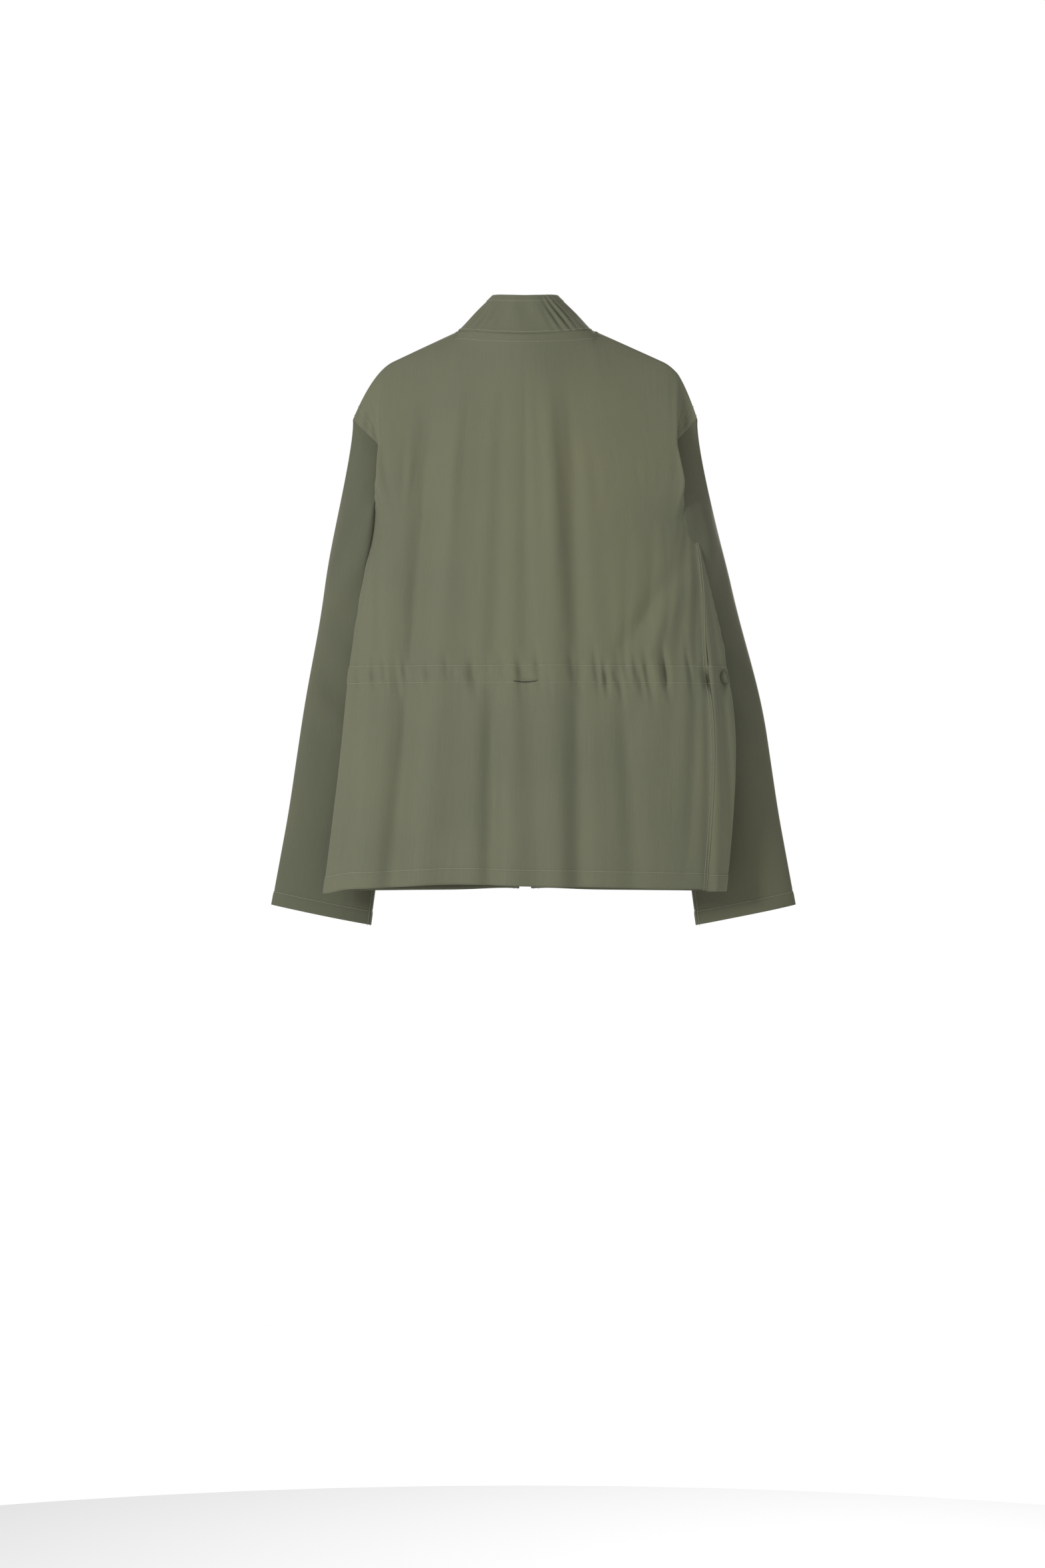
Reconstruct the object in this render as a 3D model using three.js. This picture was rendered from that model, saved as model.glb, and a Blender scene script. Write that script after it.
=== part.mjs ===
// Field jacket, zipped to the top of its stand collar, in the shape it takes on a coat hanger.
// Millimetres, +Z up, front towards -Y, the wearer's left at +X. The origin is the point at the
// height of the back neck seam where the neck of the hanger passes.
import * as THREE from "three";

// ---- driving dimensions ----
const cloth = 2; // wall of every shell panel
const seamGap = 0.4; // between two pieces that are sewn edge to edge
const lie = 0.4; // between two pieces that lie on each other
const hem = { z: -720, half: 264, back: 70, front: 75 }; // the body at its hem
const chest = { z: -141, half: 191 }; // where the back folds over the armhole
const underarmZ = -240;
const shoulder = { x: 225, z: -108, slope: 0.47, roundFrom: 172, round: 0.0182 };
const neck = { half: 87, back: 45, front: 58, sideZ: 8, frontZ: -60, chestBack: 58 };
const armhole = { inset: 12, depth: 38 };
const collar = { half: 42, back: 30, sideZ: 54, backZ: 51, frontZ: -5 };
const sleeve = { gap: 2.4, wall: 1.6, clear: 7, blend: 0.16, cuffHalf: 68, cuffDepth: 22, cuffTilt: 11.6 };
const zip = { row: 3.4, valley: 1.8, slot: 0.6, tooth: 2.4, pitch: 16, edge: 7, start: 14, below: 11.2, stop: 4 };
const slider = { length: 12, half: 5.6, plate: 1.4, post: 0.25, down: 10 };
const pull = { length: 28, width: 5, thick: 1.2, eye: 2.6, bore: 1.4, pin: 0.6, ear: 1.2 };
const guard = { left: 26, right: -19, flat: 9, wall: 0.8, aboveHem: 8, belowNeck: 24 };
const waist = { z: -441, half: 11, cord: 3, wall: 1, from: 34, columns: 44 };
const pocketWall = 1.5;
const bellows = 11; // how far a pocket stands off its panel
const pockets = [
  { name: "chest_pocket", x0: 42, x1: 148, top: -205, bottom: -320 },
  { name: "hip_pocket", x0: 42, x1: 150, top: -500, bottom: -655 },
];
const flap = { above: 14, below: 36, over: 3, wall: 1.4, stand: 4.4, clear: 1.8 };
const snap = { cap: 6, capHeight: 2, stud: 4.5, studHeight: 1, drop: 21 };
const loop = { turn: 0.34, low: 0.05, high: 0.2, out: 14, wall: 1.2 };
const label = { half: 0.12, low: 0.93, high: 0.975, wall: 0.8, clear: 1 };

const cottonGreen = { color: 0x6b6e57, roughness: 0.85, metalness: 0 };
const colours = {
  shell: cottonGreen,
  lining: { color: 0x5f624d, roughness: 0.9, metalness: 0 },
  tape: { color: 0x4b4e3c, roughness: 0.8, metalness: 0 },
  metal: { color: 0x6f6a5c, roughness: 0.4, metalness: 1 },
  cord: { color: 0x54573f, roughness: 0.9, metalness: 0 },
  label: { color: 0x2c2d28, roughness: 0.9, metalness: 0 },
};
const { PI, sin, cos, abs, sqrt } = Math;
const mix = (a, b, t) => a + (b - a) * t;
const smooth = (t) => t * t * (3 - 2 * t);
const clamp01 = (t) => Math.min(1, Math.max(0, t));

const jacket = new THREE.Group();
function add(name, geometry, finish, parent = jacket) {
  const mesh = new THREE.Mesh(geometry, new THREE.MeshStandardMaterial(colours[finish]));
  mesh.name = name;
  parent.add(mesh);
  return mesh;
}

// ---- the surface of the body ----
const bodyHalf = (z) => hem.half - (hem.half - chest.half) * ((z - hem.z) / (chest.z - hem.z)) ** 2;
const backDepth = (z) => mix(hem.back, neck.chestBack, (z - hem.z) / (underarmZ - hem.z));
const frontDepth = (z) => mix(hem.front, neck.front, (z - hem.z) / (neck.frontZ - hem.z));
const depthAt = (face, z) => (face > 0 ? backDepth(z) : frontDepth(z));
const underarmV = 0.66; // share of the panel's height that lies below the underarm

// The neck seam inside neck.half, then the shoulder line out to the top of the sleeve.
function topLine(face, x) {
  const inNeck = x < neck.half;
  const across = inNeck ? 1 - (x / neck.half) ** 2 : 0;
  const drop = face > 0 ? neck.sideZ : neck.sideZ - neck.frontZ;
  const past = Math.max(0, x - shoulder.roundFrom);
  const z = inNeck
    ? neck.sideZ - drop * across
    : neck.sideZ - shoulder.slope * (x - neck.half) - shoulder.round * past * past;
  return { y: (face > 0 ? neck.back : neck.front) * sqrt(across), z };
}

// Half a body panel: u runs from the centre line to the side, v from the hem to the shoulder.
function bodyPoint(face, u, v) {
  const turn = (PI * u) / 2;
  if (v <= underarmV) {
    const z = mix(hem.z, underarmZ, v / underarmV);
    return new THREE.Vector3(bodyHalf(z) * sin(turn), face * depthAt(face, z) * cos(turn), z);
  }
  const q = (v - underarmV) / (1 - underarmV);
  const top = topLine(face, shoulder.x * u);
  const armX = mix(bodyHalf(underarmZ), shoulder.x, q) - armhole.inset * sin(PI * q);
  const z = mix(underarmZ, top.z, q);
  const centreZ = mix(underarmZ, face > 0 ? 0 : neck.frontZ, q);
  const depth = face > 0 ? mix(neck.chestBack, neck.back, q) : frontDepth(centreZ);
  const y = mix(depth * cos(turn), top.y, q ** 4) + armhole.depth * sin(PI * q) * u * u;
  return new THREE.Vector3(armX * mix(sin(turn), u, q), face * y, z);
}

// The outward normal of a surface by central differences, turned away from the body's middle.
function normalAt(surface, u, v, middle) {
  const step = 1e-3;
  const along = surface(u + step, v).sub(surface(u - step, v));
  const up = surface(u, v + step).sub(surface(u, v - step));
  const n = along.cross(up).normalize();
  return n.dot(surface(u, v).sub(middle)) < 0 ? n.negate() : n;
}

function bodyOffset(face, u, v, offset) {
  const side = u < 0 ? -1 : 1;
  const half = (a, b) => bodyPoint(face, clamp01(a), clamp01(b));
  const inner = Math.min(abs(u), 0.998);
  const lower = Math.min(v, 0.998);
  const p = half(abs(u), v);
  const n = normalAt(half, Math.max(inner, 1e-3), Math.max(lower, 1e-3), new THREE.Vector3(0, 0, p.z - 30));
  p.addScaledVector(n, offset);
  p.x *= side;
  p.y = face * Math.max(face * p.y, seamGap / 2);
  return p;
}

// u and v of the front panel at a given x and height, by repeated correction.
function frontAt(x, z) {
  let u = x / hem.half;
  let v = 0.5;
  for (let i = 0; i < 60; i += 1) {
    const p = bodyPoint(-1, u, v);
    u = Math.min(1, Math.max(0, u + (x - p.x) / (1.6 * hem.half)));
    v = Math.min(1, Math.max(0, v + (z - p.z) / (1.2 * abs(hem.z))));
  }
  return { u, v };
}

// A closed solid between two grids of points, each rows x columns, wrapped round where ring is true.
function shell(outer, inner, ring = false) {
  const rows = outer.length;
  const cols = outer[0].length;
  const points = [...outer.flat(), ...inner.flat()].flatMap((p) => [p.x, p.y, p.z]);
  const at = (layer, r, c) => layer * rows * cols + r * cols + (c % cols);
  const faces = [];
  const quad = (a, b, c, d) => faces.push(a, b, c, a, c, d);
  const lastCol = ring ? cols : cols - 1;
  for (let r = 0; r < rows - 1; r += 1) {
    for (let c = 0; c < lastCol; c += 1) {
      quad(at(0, r, c), at(0, r, c + 1), at(0, r + 1, c + 1), at(0, r + 1, c));
      quad(at(1, r, c), at(1, r + 1, c), at(1, r + 1, c + 1), at(1, r, c + 1));
    }
  }
  for (let c = 0; c < lastCol; c += 1) {
    quad(at(0, 0, c), at(1, 0, c), at(1, 0, c + 1), at(0, 0, c + 1));
    quad(at(0, rows - 1, c), at(0, rows - 1, c + 1), at(1, rows - 1, c + 1), at(1, rows - 1, c));
  }
  for (let r = 0; !ring && r < rows - 1; r += 1) {
    quad(at(0, r, 0), at(0, r + 1, 0), at(1, r + 1, 0), at(1, r, 0));
    quad(at(0, r, cols - 1), at(1, r, cols - 1), at(1, r + 1, cols - 1), at(0, r + 1, cols - 1));
  }
  const a = new THREE.Vector3();
  const b = new THREE.Vector3();
  const c = new THREE.Vector3();
  let volume = 0;
  for (let i = 0; i < faces.length; i += 3) {
    a.fromArray(points, 3 * faces[i]);
    b.fromArray(points, 3 * faces[i + 1]);
    c.fromArray(points, 3 * faces[i + 2]);
    volume += a.dot(b.cross(c));
  }
  if (volume < 0) faces.reverse();
  return new THREE.BufferGeometry()
    .setAttribute("position", new THREE.Float32BufferAttribute(points, 3))
    .setIndex(faces);
}

const steps = (from, to, n) => Array.from({ length: n + 1 }, (_, i) => mix(from, to, i / n));
const grid = (rows, cols, point) => rows.map((r) => cols.map((c) => point(c, r)));

function bodySheet(face, us, vs, outside, inside) {
  return shell(
    grid(vs, us, (u, v) => bodyOffset(face, u, v, outside)),
    grid(vs, us, (u, v) => bodyOffset(face, u, v, inside)),
  );
}

// ---- shell panels ----
const rows = [...steps(0, underarmV, 12), ...steps(underarmV, 1, 8).slice(1)];
const neckU = neck.half / shoulder.x; // a column of points runs up to the corner of the neck
const halfAcross = [...steps(0, neckU, 5), ...steps(neckU, 1, 6).slice(1)];
const backAcross = [...halfAcross.slice(1).map((u) => -u).reverse(), ...halfAcross];
add("back_panel", bodySheet(1, backAcross, rows, 0, -cloth), "shell");
for (const [side, sign] of [["left", 1], ["right", -1]]) {
  const edgeU = (v) => frontAt(zip.edge, bodyPoint(-1, 0.03, v).z).u;
  const point = (offset) => (t, v) => bodyOffset(-1, sign * mix(edgeU(v), 1, t), v, offset);
  const neckT = (neckU - edgeU(1)) / (1 - edgeU(1));
  const across = [...steps(0, neckT, 4), ...steps(neckT, 1, 6).slice(1)];
  add("front_panel_" + side, shell(grid(rows, across, point(0)), grid(rows, across, point(-cloth))), "shell");
}

// ---- stand collar: an outer ply and an inner facing, closed in front by the zip ----
function collarPoint(turn, rise, offset) {
  const front = cos(turn) > 0; // turn is 0 at the centre front and PI at the centre back
  const c = cos(turn) ** 2;
  const low = new THREE.Vector3(
    neck.half * sin(turn),
    (front ? -neck.front : neck.back) * abs(cos(turn)),
    neck.sideZ - (front ? neck.sideZ - neck.frontZ : neck.sideZ) * c,
  );
  const frontTop = neck.front - (collar.frontZ - neck.frontZ) * ((hem.front - neck.front) / (neck.frontZ - hem.z));
  const high = new THREE.Vector3(
    collar.half * sin(turn),
    (front ? -frontTop : collar.back) * abs(cos(turn)),
    collar.sideZ - (front ? collar.sideZ - collar.frontZ : collar.sideZ - collar.backZ) * c,
  );
  const p = low.lerp(high, rise);
  const out = new THREE.Vector3(sin(turn), -cos(turn), 0.5 * abs(sin(turn))).normalize();
  return p.addScaledVector(out, offset);
}
const frontTurn = (rise) => Math.asin(zip.edge / mix(neck.half, collar.half, rise));
function collarPly(outside, inside) {
  const at = (offset) => (t, rise) => collarPoint(mix(frontTurn(rise), 2 * PI - frontTurn(rise), t), rise, offset);
  const heights = steps(0.03, 1, 3);
  const round = steps(0, 1, 26);
  return shell(grid(heights, round, at(outside)), grid(heights, round, at(inside)));
}
add("collar_outer", collarPly(0, -1.2), "shell");
add("collar_facing", collarPly(-1.6, -2.6), "lining");

// ---- sleeves: tubes from the armhole to the hemmed cuff, lying in front of the body's sides ----
// Sections of the sleeve below the armhole: its middle, then its half width and half depth.
const sleeveSections = [
  { middle: [219, 0, -174], half: [20, 42] },
  { middle: [232, -8, -232], half: [19, 46] },
  { middle: [228, -34, -300], half: [34, 42] },
  { middle: [222, -56, -370], half: [52, 34] },
  { middle: [230, -66, -480], half: [62, 28] },
  { middle: [250, -66, -610], half: [64, 25] },
  { middle: [270, -64, -756], half: [sleeve.cuffHalf, sleeve.cuffDepth] },
];
const sleevePath = new THREE.CatmullRomCurve3(sleeveSections.map((s) => new THREE.Vector3(...s.middle)));
const sleeveHalf = new THREE.CatmullRomCurve3(sleeveSections.map((s) => new THREE.Vector3(...s.half, 0)));
function sleevePoint(turn, t, offset) {
  const tilt = THREE.MathUtils.degToRad(sleeve.cuffTilt) * smooth(t);
  const c = sleevePath.getPoint(t);
  const half = sleeveHalf.getPoint(t);
  const oval = new THREE.Vector3(
    c.x + (half.x + offset) * cos(turn) * cos(tilt),
    c.y + (half.y + offset) * sin(turn),
    c.z + (half.x + offset) * cos(turn) * sin(tilt),
  );
  const start = armholeRing(turn, offset);
  return besideBody(start.lerp(oval, smooth(clamp01(t / sleeve.blend))), sleeve.clear - offset);
}
// The armhole, a little outside the body's edge: turn is 0 at the shoulder, PI at the underarm.
function armholeRing(turn, offset) {
  const back = turn <= PI;
  const q = back ? 1 - turn / PI : turn / PI - 1;
  const p = bodyPoint(back ? 1 : -1, 1, mix(underarmV, 1, q));
  p.y += offset * sin(turn);
  p.z += offset * cos(turn);
  p.x += sleeve.gap;
  return p;
}
// Where the sleeve would run through the body it lies against it instead.
function besideBody(p, clear) {
  if (p.z < underarmZ) {
    const wide = bodyHalf(p.z) + clear;
    const thick = (p.y > 0 ? backDepth(p.z) : frontDepth(p.z)) + clear;
    const inside = Math.min(1, Math.hypot(p.x / wide, p.y / thick));
    return p.set(p.x / inside, p.y / inside, p.z);
  }
  const q = clamp01((p.z - underarmZ) / (shoulder.z - underarmZ));
  const edge = bodyPoint(-1, 1, mix(underarmV, 1, q)).x + sleeve.gap;
  return p.setX(Math.max(p.x, edge));
}
for (const [side, sign] of [["left", 1], ["right", -1]]) {
  const round = steps(0, 2 * PI, 20).slice(0, -1);
  const along = [0, 0.03, 0.07, 0.12, 0.167, 0.22, 0.28, 0.333, 0.42, 0.5, 0.667, 0.83, 1];
  const at = (offset) => (turn, t) => {
    const p = sleevePoint(turn, t, offset);
    return p.setX(sign * p.x);
  };
  add("sleeve_" + side, shell(grid(along, round, at(0)), grid(along, round, at(-sleeve.wall)), true), "shell");
}

// ---- waist casing inside the shell, with its drawcord ----
// A facet of the shell lies this far inside the curve that it follows.
const facetSag = hem.half * (1 - cos(PI / waist.columns));
const waistClear = lie + 2 * facetSag;
const cordIn = cloth + waistClear + waist.cord / 2; // centre of the cord below the shell's outer face
const casingIn = cordIn + waist.cord / 2 + waistClear;
const waistU = (x) => (2 / PI) * Math.asin(x / bodyHalf(waist.z));
// The ring round the waist: s runs from the left front (0) round the back to the right front (1).
function waistPoint(s, z, offset) {
  const round = mix(waistU(waist.from), 4 - waistU(waist.from), s); // quarter turns from the centre front
  const turn = (PI * round) / 2;
  const wide = bodyHalf(z);
  const deep = cos(turn) > 0 ? frontDepth(z) : backDepth(z);
  const p = new THREE.Vector3(wide * sin(turn), -deep * cos(turn), z);
  const out = new THREE.Vector3(sin(turn) / wide, -cos(turn) / deep, 0).normalize();
  return p.addScaledVector(out, -offset);
}
const casingRows = [-1, -0.7, 0.7, 1];
const casingAt = (extra) => (s, h) =>
  waistPoint(s, waist.z + h * waist.half, (abs(h) === 1 ? cloth + waistClear : casingIn) + extra);
const casingRound = steps(0, 1, waist.columns);
const casing = [0, waist.wall].map((extra) => grid(casingRows, casingRound, casingAt(extra)));
add("waist_casing", shell(...casing), "lining");

const cordEnds = 0.004;
const cordLine = new THREE.CatmullRomCurve3(steps(cordEnds, 1 - cordEnds, 48).map((s) => waistPoint(s, waist.z, cordIn)));
const cordSection = new THREE.Shape().absarc(0, 0, waist.cord / 2, 0, 2 * PI);
add("drawcord", new THREE.ExtrudeGeometry(cordSection, { extrudePath: cordLine, steps: 64, curveSegments: 4, bevelEnabled: false }), "cord");
for (const [side, s] of [["left", -0.0025], ["right", 1.0025]]) {
  const knot = add("drawcord_knot_" + side, new THREE.SphereGeometry(waist.cord, 10, 6), "cord");
  knot.position.copy(waistPoint(s, waist.z, cordIn + 0.6));
}

// ---- front zip: a straight run up the centre front, leaning with the body ----
const lean = Math.atan((hem.front - neck.front) / (neck.frontZ - hem.z));
const zipEnd = (collar.frontZ - hem.z) / cos(lean) - zip.below;
const front = new THREE.Group();
front.position.set(0, -hem.front, hem.z);
front.rotation.x = -lean;
jacket.add(front);
// In this group y is the depth below the outer face of the front, and z the way up from the hem.
const box = (x0, x1, y0, y1, z0, z1) =>
  new THREE.BoxGeometry(x1 - x0, y1 - y0, z1 - z0).translate((x0 + x1) / 2, (y0 + y1) / 2, (z0 + z1) / 2);
const toothFront = -0.2; // the teeth stand this little out of the front
const toothBack = toothFront + zip.tooth;
const tapeWall = 0.7;

function teeth(sign, lift) {
  const shape = new THREE.Shape();
  const count = Math.floor((zipEnd - zip.start - zip.pitch) / zip.pitch);
  const [root, valley, tip] = [zip.row, zip.valley, zip.slot].map((x) => sign * x);
  shape.moveTo(root, zip.start);
  shape.lineTo(valley, zip.start);
  for (let i = 0; i < count; i += 1) {
    const z = zip.start + 1 + lift + i * zip.pitch;
    shape.lineTo(valley, z);
    shape.lineTo(tip, z);
    shape.lineTo(tip, z + zip.pitch / 2);
    shape.lineTo(valley, z + zip.pitch / 2);
  }
  shape.lineTo(valley, zipEnd);
  shape.lineTo(root, zipEnd);
  return new THREE.ExtrudeGeometry(shape, { depth: zip.tooth, bevelEnabled: false })
    .rotateX(PI / 2)
    .translate(0, toothBack, 0);
}
const stopFoot = zipEnd + lie;
for (const [side, sign] of [["left", 1], ["right", -1]]) {
  const span = (a, b) => (sign > 0 ? [a, b] : [-b, -a]);
  add("zip_teeth_" + side, teeth(sign, sign > 0 ? 0 : zip.pitch / 2), "metal", front);
  const tape = span(zip.row + lie, zip.edge - lie);
  add("zip_tape_" + side, box(...tape, lie, lie + tapeWall, zip.start, zipEnd), "tape", front);
  const stop = span(zip.slot, zip.edge - lie);
  add("zip_top_stop_" + side, box(...stop, toothFront, toothBack, stopFoot, stopFoot + zip.stop), "metal", front);
}
const retainer = zip.edge - lie;
add("zip_retainer", box(-retainer, retainer, toothFront, toothBack, 3, zip.start - lie), "metal", front);

// The slider's two plates grip the chain from front and back, and meet in a thin post between its rows.
const plateFront = toothFront - lie - slider.plate;
const plateBack = toothBack + lie + slider.plate;
function sliderBody() {
  const section = new THREE.Shape();
  const corners = [
    [slider.half, plateFront],
    [slider.half, toothFront - lie],
    [slider.post, toothFront - lie],
    [slider.post, toothBack + lie],
    [slider.half, toothBack + lie],
    [slider.half, plateBack],
  ];
  const mirrored = corners.map(([x, y]) => [-x, y]).reverse();
  section.setFromPoints([...corners, ...mirrored].map(([x, y]) => new THREE.Vector2(x, y)));
  return new THREE.ExtrudeGeometry(section, { depth: slider.length, bevelEnabled: false })
    .translate(0, 0, -slider.length / 2);
}
const carriage = new THREE.Group();
carriage.position.set(0, 0, zipEnd - slider.down);
front.add(carriage);
add("zip_slider", sliderBody(), "metal", carriage);

// A loop of metal stands on the slider, and the eye of the pull hangs on its bar.
const pinOut = plateFront - lie - pull.eye;
function bridge() {
  const half = pull.width / 2 + lie;
  const outline = new THREE.Shape();
  outline.moveTo(-half - pull.ear, plateFront - lie);
  outline.lineTo(-half - pull.ear, pinOut - pull.pin);
  outline.lineTo(half + pull.ear, pinOut - pull.pin);
  outline.lineTo(half + pull.ear, plateFront - lie);
  outline.lineTo(half, plateFront - lie);
  outline.lineTo(half, pinOut + pull.pin);
  outline.lineTo(-half, pinOut + pull.pin);
  outline.lineTo(-half, plateFront - lie);
  return new THREE.ExtrudeGeometry(outline, { depth: 2 * pull.pin, bevelEnabled: false })
    .translate(0, 0, -pull.pin);
}
add("zip_bridge", bridge(), "metal", carriage);
function pullTab() {
  const profile = new THREE.Shape(); // across is the depth, up is up
  const half = pull.thick / 2;
  const join = sqrt(pull.eye ** 2 - half ** 2);
  const start = Math.atan2(-join, half);
  profile.moveTo(half, -join);
  profile.absarc(0, 0, pull.eye, start, 1.5 * PI - (start + PI / 2), false);
  profile.lineTo(-half, -pull.length);
  profile.lineTo(half, -pull.length);
  profile.holes.push(new THREE.Path().absarc(0, 0, pull.bore, 0, 2 * PI, true));
  return new THREE.ExtrudeGeometry(profile, { depth: pull.width, bevelEnabled: false, curveSegments: 10 })
    .rotateX(PI / 2)
    .rotateZ(PI / 2)
    .translate(-pull.width / 2, 0, 0);
}
const tab = add("zip_pull", pullTab(), "metal", carriage);
tab.position.set(0, pinOut, 0);

// ---- pieces that lie on the front panels ----
function frontPoint(x, z, offset) {
  const { u, v } = frontAt(abs(x), z);
  return bodyOffset(-1, x < 0 ? -u : u, v, offset);
}
function frontSheet(xs, zs, outside, inside) {
  return shell(
    grid(zs, xs, (x, z) => frontPoint(x, z, outside(x, z))),
    grid(zs, xs, (x, z) => frontPoint(x, z, inside(x, z))),
  );
}

// The wind guard hangs behind the zip from the left front and laps over to the right.
const guardIn = plateBack + lie;
const guardAt = (x) => -mix(guardIn, cloth + lie, clamp01((x - guard.flat) / (guard.left - guard.flat)));
const guardAcross = [guard.right, 0, guard.flat, guard.left];
const guardUp = steps(hem.z + guard.aboveHem, neck.frontZ - guard.belowNeck, 12);
add("wind_guard", frontSheet(guardAcross, guardUp, guardAt, (x) => guardAt(x) - guard.wall), "lining");

// A pocket is a pouch sewn to the panel on three sides and open at the top.
const pouchEdge = 9;
function pouchRise(p, x, z) {
  const near = Math.min(abs(x) - p.x0, p.x1 - abs(x), z - p.bottom);
  return mix(lie, bellows - pocketWall, smooth(clamp01(near / pouchEdge)));
}
function pouch(p, sign) {
  const steep = [0, pouchEdge / 2, pouchEdge];
  const flat = steps(p.x0 + pouchEdge, p.x1 - pouchEdge, 6).slice(1, -1);
  const across = [...steep.map((d) => p.x0 + d), ...flat, ...steep.map((d) => p.x1 - d).reverse()];
  const up = [...steep.map((d) => p.bottom + d), mix(p.bottom, p.top, 0.4), mix(p.bottom, p.top, 0.7), p.top];
  const rise = (x, z) => pouchRise(p, x, z);
  return frontSheet(across.map((x) => sign * x), up, (x, z) => rise(x, z) + pocketWall, rise);
}

// Its flap turns on a straight line above the mouth and hangs over it.
function flapHinge(p, sign) {
  const ends = [p.x0 - flap.over, p.x1 + flap.over];
  return ends.map((x) => frontPoint(sign * x, p.top + flap.above, flap.stand));
}
function flapSheet(p, sign) {
  const [a, b] = flapHinge(p, sign);
  const out = b.clone().sub(a).cross(new THREE.Vector3(0, 0, sign)).normalize();
  const across = steps(0, 1, 8);
  const down = [flap.above, 2, -6, -flap.below / 2, -flap.below];
  const point = (layer) => (t, dz) => {
    const line = a.clone().lerp(b, t);
    if (dz === flap.above) return line.addScaledVector(out, layer);
    return frontPoint(line.x, p.top + dz, bellows + flap.clear + layer);
  };
  return shell(grid(down, across, point(0)), grid(down, across, point(flap.wall)));
}
function button(p, sign, radius, height, offset) {
  const x = (sign * (p.x0 + p.x1)) / 2;
  const z = p.top - snap.drop;
  const foot = frontPoint(x, z, offset + lie);
  const out = frontPoint(x, z, offset + 1 + lie).sub(foot).normalize();
  const disc = new THREE.CylinderGeometry(radius, radius, height, 20).translate(0, height / 2, 0);
  return disc
    .applyQuaternion(new THREE.Quaternion().setFromUnitVectors(new THREE.Vector3(0, 1, 0), out))
    .translate(...foot.toArray());
}
for (const p of pockets) {
  for (const [side, sign] of [["left", 1], ["right", -1]]) {
    const flapOut = bellows + flap.clear + flap.wall;
    add(p.name + "_" + side, pouch(p, sign), "shell");
    add(p.name + "_stud_" + side, button(p, sign, snap.stud, snap.studHeight, bellows), "metal");
    add(p.name + "_flap_" + side, flapSheet(p, sign), "shell");
    add(p.name + "_cap_" + side, button(p, sign, snap.cap, snap.capHeight, flapOut), "metal");
  }
}

// ---- hanging loop and blank neck label ----
const loopAt = (t) => -mix(3, 3 + loop.out, cos((PI * t) / 2));
const loopGrid = (extra) =>
  grid([loop.low, loop.high], steps(-1, 1, 12), (t, rise) => collarPoint(PI + loop.turn * t, rise, loopAt(t) - extra));
add("hang_loop", shell(loopGrid(0), loopGrid(loop.wall)), "tape");
const labelRows = steps(label.low, label.high, 3);
const labelIn = -cloth - label.clear;
add("neck_label", bodySheet(1, steps(-label.half, label.half, 4), labelRows, labelIn, labelIn - label.wall), "label");

export default jacket;
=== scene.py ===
# %% [markdown]
# A field jacket on a hanger, seen from behind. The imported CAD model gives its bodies, its joints and its
# box, and this lesson sews the visible garment round them: cloth panels that are draped by simulation,
# seams and stitches that follow them, and a metal zip.

# %% Open the frame
import math

import bmesh
import bpy
import numpy as np
from mathutils import Matrix, Vector
from mathutils.bvhtree import BVHTree


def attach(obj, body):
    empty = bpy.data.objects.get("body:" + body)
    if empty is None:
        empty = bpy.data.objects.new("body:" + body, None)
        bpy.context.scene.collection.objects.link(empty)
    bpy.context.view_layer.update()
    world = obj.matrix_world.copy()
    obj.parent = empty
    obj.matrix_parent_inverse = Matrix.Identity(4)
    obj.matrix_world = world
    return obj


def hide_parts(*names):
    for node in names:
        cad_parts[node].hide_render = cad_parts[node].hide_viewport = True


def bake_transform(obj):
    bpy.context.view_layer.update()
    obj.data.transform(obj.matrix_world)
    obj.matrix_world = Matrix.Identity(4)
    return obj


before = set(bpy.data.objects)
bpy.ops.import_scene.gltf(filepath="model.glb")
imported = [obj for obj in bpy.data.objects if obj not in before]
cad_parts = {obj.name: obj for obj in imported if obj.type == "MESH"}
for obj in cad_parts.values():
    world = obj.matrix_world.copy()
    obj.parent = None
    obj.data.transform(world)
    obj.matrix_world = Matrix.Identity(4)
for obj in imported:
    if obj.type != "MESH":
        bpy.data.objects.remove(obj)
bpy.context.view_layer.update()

# %% [markdown]
# The camera stands behind the jacket, level with its middle, as far off as a studio camera does, so the
# outline has little perspective. One large soft lamp beside the camera gives the folds their
# shade, and two weaker ones keep the other sides from going dark.

# %% Camera and light
MM = 0.001
scene = bpy.context.scene
FRAME_HEIGHT = 2.047  # metres of the jacket's plane that the view takes in
CAMERA_FAR = 4.5


def set_out(name, data):
    """A new object in the scene, at the origin, that holds the given mesh, lamp or camera."""
    obj = bpy.data.objects.new(name, data)
    scene.collection.objects.link(obj)
    return obj


camera_data = bpy.data.cameras.new("camera")
camera_data.lens = 36.0 * CAMERA_FAR / FRAME_HEIGHT
camera = set_out("camera", camera_data)
camera.location = (0.0035, CAMERA_FAR, -0.583)
camera.rotation_euler = (math.pi / 2, 0, math.pi)
scene.camera = camera


JACKET_MIDDLE = Vector((0, 0, -0.4))


def lamp(name, place, size, watts):
    """A round soft lamp that points at the middle of the jacket."""
    data = bpy.data.lights.new(name, "AREA")
    data.shape = "DISK"
    data.size = size
    data.energy = watts
    obj = set_out(name, data)
    obj.location = place
    obj.rotation_euler = (JACKET_MIDDLE - Vector(place)).to_track_quat("-Z", "Y").to_euler()


lamp("key", (2.5, 2.5, 0.15), 0.8, 98)
lamp("side_fill", (-2.4, 2.6, 0.1), 1.4, 30)
lamp("front_fill", (-1.2, -3.4, 0.9), 1.4, 100)
scene.view_settings.view_transform = "Standard"

# %% [markdown]
# Shader maths reads best as plain expressions. The class below wraps one socket, and an expression such as
# `1 - mask * 0.5` adds the Math nodes that work it out.

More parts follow.
